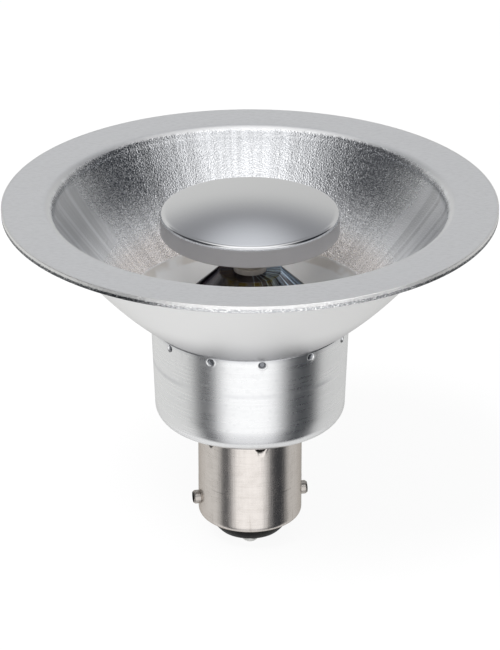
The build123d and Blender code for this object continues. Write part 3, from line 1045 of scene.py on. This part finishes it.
@dataclass
class GlareDisc:
    """Disc with a shallow dome, a side band and a recess for the light source."""

    radius: float = 12.7
    top_z: float = 51.5
    dome: float = 0.55
    bottom_z: float = 48.35
    recess_r: float = 11.9
    recess_z: float = 50.15
    boss_r: float = 2.6
    boss_z: float = 48.75
    edge: float = 0.85
    round_r: float = 0.50
    columns: int = 360

    def outline(self) -> np.ndarray:
        """Dome as an arc of a circle through the edge and the crown, then band, recess and boss.

        Returns:
            The outline from the crown to the middle of the boss.
        """
        ball_r = (self.radius ** 2 + self.dome ** 2) / (2 * self.dome)
        reach = np.linspace(0.0, self.radius - self.edge, 36)
        dome = np.stack([reach, self.top_z + self.dome - ball_r + np.sqrt(ball_r ** 2 - reach ** 2)], axis=1)
        edge_z = dome[-1, 1] - self.edge * self.radius / ball_r
        band = rounded([
            (*dome[-1], 0.0), (self.radius, edge_z, self.round_r), (self.radius, self.bottom_z + 0.12, 0.04),
            (self.radius - 0.12, self.bottom_z, 0.04), (self.recess_r, self.bottom_z, 0.08),
            (self.recess_r, self.recess_z, 0.08), (self.boss_r, self.recess_z, 0.08),
            (self.boss_r, self.boss_z, 0.08), (0.0, self.boss_z, 0.0)], steps=8)
        return joined(dome, refined(band, 0.7))

    def build(self) -> None:
        """Builds and dresses the disc."""
        skin = Skin(round_about(self.outline(), even_angles(self.columns)), poles=True)
        skin.piece("glare_disc", SatinDisc(), "glare_metal", "glare_cap")


@dataclass
class PolishedCone:
    """Hollow cone under the disc, with a flat top round the stem."""

    base_r: float = 12.07
    base_z: float = 32.6
    top_r: float = 4.5
    top_z: float = 42.5
    half_angle: float = math.radians(46.0)
    sheet: float = 0.9
    bore_r: float = 1.85
    columns: int = 360

    def outline(self) -> np.ndarray:
        """The wall falls by 1 / tan(half angle) for each step outwards.

        Returns:
            The closed outline.
        """
        slope = math.tan(self.half_angle)
        shoulder_z = self.top_z - (self.base_r - self.top_r) / slope
        run = self.sheet / math.cos(self.half_angle)
        inner_r = self.base_r - self.sheet
        inner_z = shoulder_z - (run - self.sheet) / slope
        inner_top_r = self.top_r - run + self.sheet * slope
        outline = rounded([
            (self.base_r, self.base_z, 0.06), (self.base_r, shoulder_z, 0.15), (self.top_r, self.top_z, 0.18),
            (self.bore_r, self.top_z, 0.06), (self.bore_r, self.top_z - self.sheet, 0.06),
            (inner_top_r, self.top_z - self.sheet, 0.1), (inner_r, inner_z, 0.1), (inner_r, self.base_z, 0.06)], True)
        return refined(outline, 0.6, True)

    def build(self) -> None:
        """Builds and dresses the cone."""
        skin = Skin(round_about(self.outline(), even_angles(self.columns)))
        skin.piece("polished_cone", DarkMirror(), "cone_chrome", "mirror_cone")


@dataclass
class TurnedCup:
    """Turned cup with a tapered wall, a rounded bottom and twelve punched dimples."""

    foot_r: float = 7.95
    foot_z: float = 18.0
    waist_r: float = 13.72
    waist_z: float = 21.8
    mouth_r: float = 14.2
    mouth_z: float = 34.9
    dome_rise: float = 4.5
    cone_slope: float = 0.51
    cone_z: float = 13.69
    cone_blend: float = 0.003
    floor: float = 1.2
    bore_r: float = 12.22
    ledge_z: float = 31.0
    seat_r: float = 12.97
    throat_r: float = 7.15
    lip: float = 0.15
    dimples: int = 12
    dimple_turn: float = math.radians(7.0)
    dimple_z: float = 34.1
    dimple_r: float = 0.58
    dimple_tip: float = 0.34
    dimple_depth: float = 0.36
    dimple_window: float = math.radians(3.6)
    dimple_columns: int = 26
    plain_columns: int = 14
    dimple_rows: float = 0.06

    def outline(self) -> np.ndarray:
        """Half ellipse with a conical stretch for the bottom, straight taper above it and the bore inside.

        The bottom is the smooth maximum of the ellipse and the line z = cone_z + cone_slope r:
        their mean, plus half the square root of their difference squared plus cone_blend.

        Returns:
            The closed outline, with close rows where the dimples are.
        """
        height = self.waist_z - self.foot_z
        sink = math.sqrt(1 - (height / self.dome_rise) ** 2)
        run = (self.waist_r - self.foot_r) / (1 - sink)
        centre = (self.waist_r - run, self.waist_z)
        dome = ellipse_arc(centre, run, self.dome_rise, -math.asin(height / self.dome_rise), 0.0, 48)
        over = self.cone_z + self.cone_slope * dome[:, 0] - dome[:, 1]
        dome[:, 1] += (over + np.sqrt(over * over + self.cone_blend)) / 2
        dome[-1, 1] = self.waist_z
        rise = self.dome_rise - self.floor
        inner_height = height - self.floor
        inner = ellipse_arc(centre, self.bore_r - centre[0], rise, 0.0, -math.asin(inner_height / rise), 14)
        z = np.concatenate([np.linspace(self.waist_z, self.dimple_z - 0.8, 14),
                            np.arange(self.dimple_z - 0.74, self.mouth_z - self.lip - 0.08, self.dimple_rows)])
        taper = (self.mouth_r - self.waist_r) / (self.mouth_z - self.waist_z)
        wall = np.stack([self.waist_r + taper * (z - self.waist_z), z], axis=1)
        mouth = rounded([
            (*wall[-1], 0.0), (self.mouth_r, self.mouth_z - self.lip, 0.05),
            (self.mouth_r - self.lip, self.mouth_z, 0.08), (self.seat_r, self.mouth_z, 0.08),
            (self.seat_r, self.ledge_z, 0.08), (self.bore_r, self.ledge_z, 0.08), (*inner[0], 0.0)])
        foot = rounded([
            (*inner[-1], 0.0), (self.throat_r, self.foot_z + self.floor, 0.02), (self.throat_r, self.foot_z, 0.08),
            (self.foot_r, self.foot_z, 0.06), (*dome[1], 0.0)])
        return joined(dome[1:], wall, refined(mouth, 1.5), inner, foot[:-1])

    def build(self) -> None:
        """Builds the cup and presses the dimples into its outer wall."""
        first = FRONT + self.dimple_turn
        marks = first + 2 * np.pi / self.dimples * np.arange(self.dimples)
        angles = windowed_angles(self.dimples, first, self.dimple_window, self.dimple_columns, self.plain_columns)
        outline = self.outline()
        grid = round_about(outline, angles)
        dented, share = punched(grid, marks, self.dimple_z, self.dimple_r, self.dimple_tip, self.dimple_depth)
        outer = (outline[:, 0] > self.seat_r + 0.3)[:, None]
        skin = Skin(np.where(outer[..., None], dented, grid), mark=share * outer)
        skin.piece("turned_cup", TurnedAluminium(), "cup_metal", "housing_cup")


@dataclass
class BayonetCap:
    """Drawn cap shell with stakes, two hollow-ended pins, the insulator and its two contacts."""

    shell_r: float = 7.55
    sheet: float = 0.40
    bottom_z: float = 3.6
    top_z: float = 18.0
    corner_r: float = 0.95
    rim_r: float = 6.1
    step_z: float = 9.7
    step: float = 0.012
    stakes: int = 6
    stake_turn: float = math.radians(12.0)
    stake_z: float = 17.66
    stake_r: float = 0.84
    stake_tip: float = 0.58
    stake_depth: float = 0.38
    pin_colour: Colour = (0.52, 0.49, 0.46)
    pin_turn: float = math.radians(11.0)
    pin_z: float = 6.6
    pin_r: float = 1.0
    pin_reach: float = 8.48
    pin_start: float = 6.2
    pin_edge: float = 0.22
    hollow_r: float = 0.70
    hollow_depth: float = 0.45
    seam: float = 0.10
    seam_width: float = 0.08
    face_r: float = 4.5
    face_z: float = 1.2
    neck_r: float = 6.05
    bulge_r: float = 5.5
    plug_top_z: float = 5.2
    contact_offset: float = 2.7
    contact_r: float = 1.4
    contact_rim: float = 0.30
    shell_columns: int = 540
    pin_columns: int = 72
    plug_columns: int = 240
    contact_columns: int = 96
    pin_rows: float = 0.08
    stake_rows: float = 0.06

    def shell_outline(self) -> np.ndarray:
        """Turned-in rim, rounded corner, plain wall with a slight step, and the bore.

        Returns:
            The closed outline, with close rows at the pins, the step and the stakes.
        """
        centre = (self.shell_r - self.corner_r, self.bottom_z + self.corner_r)
        inner_r = self.corner_r - self.sheet
        corner = ellipse_arc(centre, self.corner_r, self.corner_r, -math.pi / 2, 0.0, 12)
        inner = ellipse_arc(centre, inner_r, inner_r, 0.0, -math.pi / 2, 6)
        z = np.concatenate([np.linspace(self.bottom_z + self.corner_r + 0.15, self.pin_z - 1.3, 5),
                            np.arange(self.pin_z - 1.24, self.pin_z + 1.25, self.pin_rows),
                            np.linspace(self.pin_z + 1.4, self.step_z - 0.06, 8),
                            [self.step_z - 0.03, self.step_z + 0.03, self.step_z + 0.06],
                            np.linspace(self.step_z + 0.4, self.stake_z - 0.66, 16),
                            np.arange(self.stake_z - 0.60, self.top_z - 0.03, self.stake_rows), [self.top_z]])
        radius = self.shell_r - self.step * np.clip((z - self.step_z + 0.03) / 0.06, 0.0, 1.0)
        wall = np.stack([radius, z], axis=1)
        bore_r = self.shell_r - self.sheet
        bore = refined(np.array([(bore_r, self.top_z), (bore_r, self.bottom_z + self.corner_r)]), 1.0)
        rim = rounded([(*inner[-1], 0.0), (self.rim_r, self.bottom_z + self.sheet, 0.08),
                       (self.rim_r, self.bottom_z, 0.10), (*corner[0], 0.0)])
        return joined(corner[1:], wall, bore, inner, rim[1:])

    def shell(self) -> None:
        """Builds the shell with its stakes and a fine seam round each pin."""
        outline = self.shell_outline()
        grid = round_about(outline, even_angles(self.shell_columns))
        marks = FRONT + self.stake_turn + 2 * np.pi / self.stakes * np.arange(self.stakes)
        dented, share = punched(grid, marks, self.stake_z, self.stake_r, self.stake_tip, self.stake_depth)
        way = wall_distance(grid, self.pin_turn + np.array([0.0, np.pi]), self.pin_z)
        dented = sunk(dented, self.seam * np.exp(-((way - self.pin_r - self.seam_width) / self.seam_width) ** 2))
        outer = (outline[:, 0] > self.shell_r - self.sheet / 2)[:, None]
        skin = Skin(np.where(outer[..., None], dented, grid), mark=share * outer)
        skin.piece("cap_tube", PlatedNickel(), "cap_nickel", "cap_shell")

    def pin(self, name: str, node: str, turn: float) -> None:
        """Builds one pin: an outline turned about its own axis, which points out at the given turn.

        Args:
            name: Name of the piece.
            node: CAD node that it stands for.
            turn: Direction of the pin, in radians.
        """
        end = self.pin_reach
        outline = rounded([
            (0.0, self.pin_start, 0.0), (self.pin_r, self.pin_start, 0.06), (self.pin_r, end - self.pin_edge, 0.12),
            (self.pin_r - self.pin_edge, end, 0.08), (self.hollow_r, end, 0.08),
            (self.hollow_r - 0.05, end - self.hollow_depth, 0.14),
            (0.0, end - self.hollow_depth - 0.05, 0.0)])
        outline = refined(outline, 0.2)
        own = round_about(outline, even_angles(self.pin_columns))
        out = np.array([math.cos(turn), math.sin(turn), 0.0])
        across = np.array([-math.sin(turn), math.cos(turn), 0.0])
        grid = own[..., 2:] * out + own[..., :1] * across + own[..., 1:2] * np.array([0.0, 0.0, 1.0])
        # The hollow's points get the mark, where painted shade goes.
        hollow = (outline[:, 0] < self.hollow_r + 0.08) & (outline[:, 1] > self.shell_r)
        skin = Skin(grid + np.array([0.0, 0.0, self.pin_z]), poles=True, mark=hollow.astype(float))
        skin.piece(name, PlatedNickel("pin_nickel", self.pin_colour), "cap_nickel", node)

    def plug(self) -> None:
        """Builds the insulator: a flat face, a bulging side and the neck inside the shell's rim."""
        side = bulged((self.face_r, self.face_z), (self.neck_r, self.bottom_z), self.bulge_r, 20)
        unrounded = np.pad(side[1:], ((0, 0), (0, 1)))
        outline = rounded([(0.0, self.face_z, 0.0), (self.face_r - 0.3, self.face_z, 0.12), *unrounded,
                           (self.neck_r, self.plug_top_z, 0.1), (0.0, self.plug_top_z, 0.0)])
        skin = Skin(round_about(refined(outline, 0.5), even_angles(self.plug_columns)), poles=True)
        glass = Moulding("black_glass", grey(0.006), (0.012, 0.0115, 0.011), roughness=0.38, scale=1.4, depth=0.03,
                         gloss=0.07)
        skin.piece("glass_plug", glass, "cap_glass", "cap_insulator")

    def contact(self, name: str, node: str, side: int) -> None:
        """Builds one solder dome: an arc that rises from the tip to a short straight rim.

        Args:
            name: Name of the piece.
            node: CAD node that it stands for.
            side: 1 for the front contact and -1 for the rear one.
        """
        edge_z = self.face_z - self.contact_rim
        ball_r = (self.contact_r ** 2 + edge_z ** 2) / (2 * edge_z)
        reach = np.linspace(0.0, self.contact_r, 20)
        dome = np.stack([reach, ball_r - np.sqrt(ball_r ** 2 - reach ** 2)], axis=1)
        rim = np.array([(self.contact_r, edge_z + 0.1), (self.contact_r - 0.04, self.face_z), (0.0, self.face_z)])
        grid = round_about(joined(dome, refined(rim, 0.2)), even_angles(self.contact_columns))
        solder = PlainMetal("solder", grey(0.80, -0.01), grey(0.60), grain=(1.5, 1.5), depth=0.05)
        skin = Skin(grid + np.array([0.0, -side * self.contact_offset, 0.0]), poles=True)
        skin.piece(name, solder, "solder", node)

    def build(self) -> None:
        """Builds the cap's pieces in order."""
        self.shell()
        self.pin("pin_right", "bayonet_pin_right", self.pin_turn)
        self.pin("pin_left", "bayonet_pin_left", self.pin_turn + math.pi)
        self.plug()
        self.contact("solder_front", "contact_front", 1)
        self.contact("solder_rear", "contact_rear", -1)


class InnerWorks:
    """The CAD pieces that keep their shape and get a finish here."""

    def finishes(self) -> dict[str, Finish]:
        """Finish of each CAD node that stays.

        Returns:
            The finish by node name.
        """
        steel = PlainMetal("zinc_steel", (0.62, 0.61, 0.58), grey(0.44), roughness=0.28, grain=(2.5, 2.5))
        red = Moulding("red_sleeving", (0.55, 0.02, 0.02), (0.42, 0.015, 0.015), roughness=0.35, scale=4.0)
        black = Moulding("black_sleeving", grey(0.015, 0.001), grey(0.03), roughness=0.35, scale=4.0)
        epoxy = Moulding("black_epoxy", grey(0.02, 0.001), grey(0.035, 0.001), roughness=0.5, scale=5.0, depth=0.012)
        return {
            "stem_tube": Moulding("grey_ceramic", (0.50, 0.47, 0.45), (0.40, 0.37, 0.35), roughness=0.35, depth=0.01,
                                  coat=0.2),
            "stem_washer": steel,
            "stem_nut": steel,
            "base_plate": PlainMetal("plate_aluminium", grey(0.78, 0.01), grey(0.64, 0.02), grain=(0.4, 5.0)),
            "thermal_pad": Moulding("grey_pad", (0.34, 0.35, 0.36), (0.26, 0.27, 0.28), roughness=0.75, depth=0.02),
            "led_board": LampBoard("white_board", grey(0.82, -0.02), (0.66, 0.60, 0.48)),
            "led_chips": Moulding("phosphor", (0.80, 0.62, 0.12), (0.86, 0.72, 0.24), roughness=0.55, scale=5.0,
                                  depth=0.01),
            "led_wire_left": red,
            "led_wire_right": black,
            "driver_sleeve": Moulding("ivory_plastic", (0.72, 0.71, 0.66), (0.66, 0.65, 0.60), roughness=0.42),
            "driver_board": LampBoard("green_board", (0.02, 0.16, 0.07), (0.05, 0.27, 0.12)),
            "inductor_core": Moulding("ferrite", (0.035, 0.033, 0.032), (0.06, 0.055, 0.052), roughness=0.55,
                                      scale=5.0, depth=0.02),
            "inductor_winding": PlainMetal("copper_winding", (0.80, 0.36, 0.18), (0.52, 0.20, 0.08), roughness=0.28,
                                           grain=(0.2, 9.0), depth=0.05),
            "smoothing_capacitor": PlainMetal("capacitor_can", (0.10, 0.11, 0.22), (0.06, 0.07, 0.15),
                                              roughness=0.35, grain=(0.5, 3.0)),
            "driver_chip": epoxy,
            "bridge_rectifier": epoxy,
            "chip_resistors": Moulding("resistor_glaze", grey(0.03, 0.004), (0.16, 0.15, 0.14), scale=5.0),
            "supply_wire_front": red,
            "supply_wire_rear": black,
        }

    def build(self) -> None:
        """Gives each carried-over CAD node its finish."""
        for name, finish in self.finishes().items():
            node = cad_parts[name]
            for slot in node.material_slots:
                slot.material = finish.material()
            LOG.info("%s: %s", name, finish.name)


class Side(Enum):
    """The two dark cards of the studio, as they show in a mirror on the lamp."""

    RIGHT = 1
    LEFT = -1


@dataclass(frozen=True)
class Card:
    """A dark stretch of the surroundings between two bearings, in degrees from the viewer's side.

    Attributes:
        side: Which side it stands on.
        near: Bearing of its near border below and above the horizon.
        near_soft: Half width of that border.
        far: Bearing of its far border below and above the horizon.
        far_soft: Half width of that border.
        colour: Its colour.
    """

    side: Side
    near: Range
    near_soft: float
    far: Range
    far_soft: float
    colour: Colour

    def mask(self, bearing: Value, upper: Value) -> Value:
        """Where the card is.

        Args:
            bearing: Bearing in degrees.
            upper: 0 below the horizon and 1 above it.

        Returns:
            1 on the card.
        """
        turn = bearing * float(self.side.value)
        near, far = (low + (high - low) * upper for low, high in (self.near, self.far))
        begun = (turn - near).above(-self.near_soft, self.near_soft)
        return begun * (1.0 - (turn - far).above(-self.far_soft, self.far_soft))


@dataclass
class Studio:
    """Pale floor, soft surroundings, one soft lamp and the camera.

    Lengths are in millimetres, and the lamp's own size and place are in metres.
    Heights in the surroundings are degrees above the horizon, bearings are degrees
    from the viewer's side, and aside is how many degrees a bearing is from straight
    behind. Of two numbers, a mask is 0 at the first and 1 at the second; of three,
    it is centre, half width of the full part and half width of the whole.

    Attributes:
        front_edge: Bearings over which the front gives way to the rest.
        front_ramp: Colours of the front by height.
        behind_ramp: Colours of the rest by height.
        right_dark: How much darker the rest is on the right.
        ahead_dark: How much darker a low stretch straight behind is.
        cards: The dark cards, which stand between card_foot and card_head.
        collar_rise: Height of the grey collar behind.
        veil_rise: Lower border of the grey veil behind, which veil_bow curves upwards.
        glow_rise: Height of the small bright glow behind.
        floor_white: Share of the floor that the camera sees as plain white.
    """

    camera_rise: float = math.radians(25.43)
    camera_way: float = 472.2
    aim_z: float = 33.7
    lens: float = 182.5
    floor_r: float = 3000.0
    floor_colour: Colour = grey(0.95)
    floor_white: float = 0.93
    lamp_power: float = 13.0
    lamp_size: float = 0.5
    lamp_place: Span = (-0.25, -0.35, 0.9)
    front_edge: Range = (46.0, 60.0)
    front_ramp: Stops = (
        (-90, grey(0.94)), (-70, grey(0.90)), (-60, grey(0.64, 0.02)), (-46, grey(0.72, 0.02)), (-35, grey(1.17)),
        (-24, grey(1.26)), (20, grey(1.10)), (36, (0.55, 0.56, 0.58)), (43, (0.60, 0.61, 0.63)), (49, grey(1.38)),
        (90, grey(1.25)))
    behind_ramp: Stops = (
        (-90, grey(0.88)), (-50, grey(0.84)), (-35, grey(0.76, -0.01)), (0, grey(0.72, -0.01)),
        (22, grey(0.68, -0.01)), (36, grey(0.72)), (56, grey(0.64, 0.01)), (72, grey(1.10)), (90, grey(1.30)))
    right_dark: float = 0.10
    ahead_dark: float = 0.14
    ahead_rise: Span = (-32.0, 9.0, 20.0)
    ahead_aside: Range = (8.0, 28.0)
    card_foot: Range = (-68.0, -52.0)
    card_head: Range = (52.0, 66.0)
    card_turn: Range = (-22.0, 6.0)
    cards: tuple[Card, ...] = (
        Card(Side.RIGHT, near=(38.0, 58.0), near_soft=16.0, far=(88.0, 122.0), far_soft=8.0,
             colour=(0.032, 0.035, 0.041)),
        Card(Side.LEFT, near=(39.0, 45.0), near_soft=13.0, far=(69.0, 121.0), far_soft=10.0,
             colour=(0.060, 0.062, 0.068)))
    collar_rise: Span = (44.0, 9.0, 14.0)
    collar_aside: Range = (48.0, 66.0)
    veil_bow: float = 0.10
    veil_rise: Range = (18.0, 27.0)
    veil_top: Range = (35.0, 39.0)
    veil_aside: Range = (10.0, 17.0)
    veil_colour: Colour = (0.285, 0.29, 0.305)
    glow_rise: float = 40.5
    glow_high: float = 16.0
    glow_wide: float = 6.0
    glow_colour: Colour = (0.80, 0.82, 0.86)

    def camera(self) -> None:
        """Places the camera at the photograph's bearing, height and distance."""
        data = bpy.data.cameras.new("camera")
        data.lens, data.clip_start, data.clip_end = self.lens, 0.01, 20.0
        made = bpy.data.objects.new("camera", data)
        back = Vector((0.0, -math.cos(self.camera_rise), math.sin(self.camera_rise)))
        made.location = Vector((0.0, 0.0, self.aim_z * MM)) + back * self.camera_way * MM
        made.rotation_mode = "QUATERNION"
        made.rotation_quaternion = (-back).to_track_quat("-Z", "Y")
        bpy.context.scene.collection.objects.link(made)
        bpy.context.scene.camera = made

    def surroundings(self) -> None:
        """Soft surroundings by bearing and height: white in front, dark cards at the sides, pale behind.

        High up behind stand a grey veil, a wider grey collar and a small bright glow.
        """
        world = bpy.data.worlds.new("studio")
        bpy.context.scene.world = world
        world.use_nodes = True
        recipe = Recipe(world.node_tree)
        x, y, z = recipe.axes(recipe.node("ShaderNodeTexCoord", out="Generated"))
        bearing = recipe.node("ShaderNodeMath", {"operation": "ARCTAN2"}, {0: x, 1: y * -1.0}) * math.degrees(1.0)
        rise = recipe.node("ShaderNodeMath", {"operation": "ARCSINE"}, {0: z}) * math.degrees(1.0)
        aside = 180.0 - abs(bearing)
        ahead = (1.0 - aside.above(*self.ahead_aside)) * rise.around(*self.ahead_rise)
        behind = recipe.blend(self.right_dark * x.above(-0.14, 0.14), self.ramp(rise, self.behind_ramp), BLACK)
        behind = recipe.blend(self.ahead_dark * ahead, behind, BLACK)
        colour = recipe.blend(1.0 - abs(bearing).above(*self.front_edge), behind, self.ramp(rise, self.front_ramp))
        standing = rise.above(*self.card_foot) * (1.0 - rise.above(*self.card_head))
        for card in self.cards:
            dark = card.mask(bearing, rise.above(*self.card_turn))
            colour = recipe.blend(dark * standing, colour, card.colour)
        veil = (rise - self.veil_bow * aside * aside).above(*self.veil_rise)
        veil = veil * (1.0 - rise.above(*self.veil_top)) * (1.0 - aside.above(*self.veil_aside))
        collar = rise.around(*self.collar_rise) * (1.0 - aside.above(*self.collar_aside))
        colour = recipe.blend(1.0 - (1.0 - veil) * (1.0 - collar), colour, self.veil_colour)
        across = aside * (1 / self.glow_wide)
        aloft = (rise - self.glow_rise) * (1 / self.glow_high)
        colour = recipe.blend(1.0 - (across * across + aloft * aloft).above(0.0, 1.0), colour, self.glow_colour)
        studio = recipe.node("ShaderNodeBackground", sockets={"Color": colour, "Strength": 1.0})
        white = recipe.node("ShaderNodeBackground", sockets={"Color": WHITE, "Strength": 1.0})
        seen = recipe.node("ShaderNodeLightPath", out="Is Camera Ray")
        recipe.finish(recipe.node("ShaderNodeMixShader", sockets={0: seen, 1: studio, 2: white}),
                      "ShaderNodeOutputWorld")

    @staticmethod
    def ramp(rise: Value, stops: Stops) -> Value:
        """Colour by height above the horizon.

        Args:
            rise: The height in degrees.
            stops: Heights in degrees with their colours.

        Returns:
            The colour.
        """
        places = [(degrees / 180.0 + 0.5, colour) for degrees, colour in stops]
        return rise.recipe.node("ShaderNodeValToRGB", {"stops": places}, {"Fac": rise * (1 / 180.0) + 0.5}, "Color")

    def lamp(self) -> None:
        """One soft lamp above the viewer's left, which gives the floor its soft shadow."""
        data = bpy.data.lights.new("soft_lamp", "AREA")
        data.shape, data.size, data.energy = "DISK", self.lamp_size, self.lamp_power
        made = bpy.data.objects.new("soft_lamp", data)
        made.location = self.lamp_place
        made.rotation_mode = "QUATERNION"
        made.rotation_quaternion = (-made.location).to_track_quat("-Z", "Y")
        made.visible_glossy = False
        bpy.context.scene.collection.objects.link(made)

    def floor(self) -> None:
        """White floor disc: most of what the camera sees of it is plain white, so its shadow stays soft."""
        angles = even_angles(64)
        ring = np.stack([np.cos(angles), np.sin(angles), np.zeros_like(angles)], axis=1) * self.floor_r * MM
        mesh = bpy.data.meshes.new("floor")
        mesh.from_pydata(ring.tolist(), [], [list(range(len(ring)))])
        made = bpy.data.objects.new("floor", mesh)
        bpy.context.scene.collection.objects.link(made)
        made.visible_glossy = False
        material = bpy.data.materials.new("pale_floor")
        material.use_nodes = True
        recipe = Recipe(material.node_tree)
        matt = recipe.node("ShaderNodeBsdfDiffuse", sockets={"Color": self.floor_colour})
        plain = recipe.node("ShaderNodeEmission", sockets={"Color": WHITE, "Strength": 1.0})
        seen = recipe.node("ShaderNodeLightPath", out="Is Camera Ray")
        pale = recipe.node("ShaderNodeMixShader", sockets={0: self.floor_white * seen, 1: matt, 2: plain})
        below = recipe.node("ShaderNodeNewGeometry", out="Backfacing")
        clear = recipe.node("ShaderNodeBsdfTransparent")
        recipe.finish(recipe.node("ShaderNodeMixShader", sockets={0: below, 1: pale, 2: clear}))
        mesh.materials.append(material)

    def build(self) -> None:
        """Builds the studio and sets the plain view transform."""
        bpy.context.scene.view_settings.view_transform = "Standard"
        self.camera()
        self.surroundings()
        self.lamp()
        self.floor()


def main() -> None:
    logging.basicConfig(level=logging.INFO, format="%(name)s: %(message)s")
    for part in (Studio(), PressedReflector(), GlareDisc(), PolishedCone(), TurnedCup(), BayonetCap(), InnerWorks()):
        part.build()
        LOG.info("%s is built", type(part).__name__)


if __name__ == "__main__":
    main()
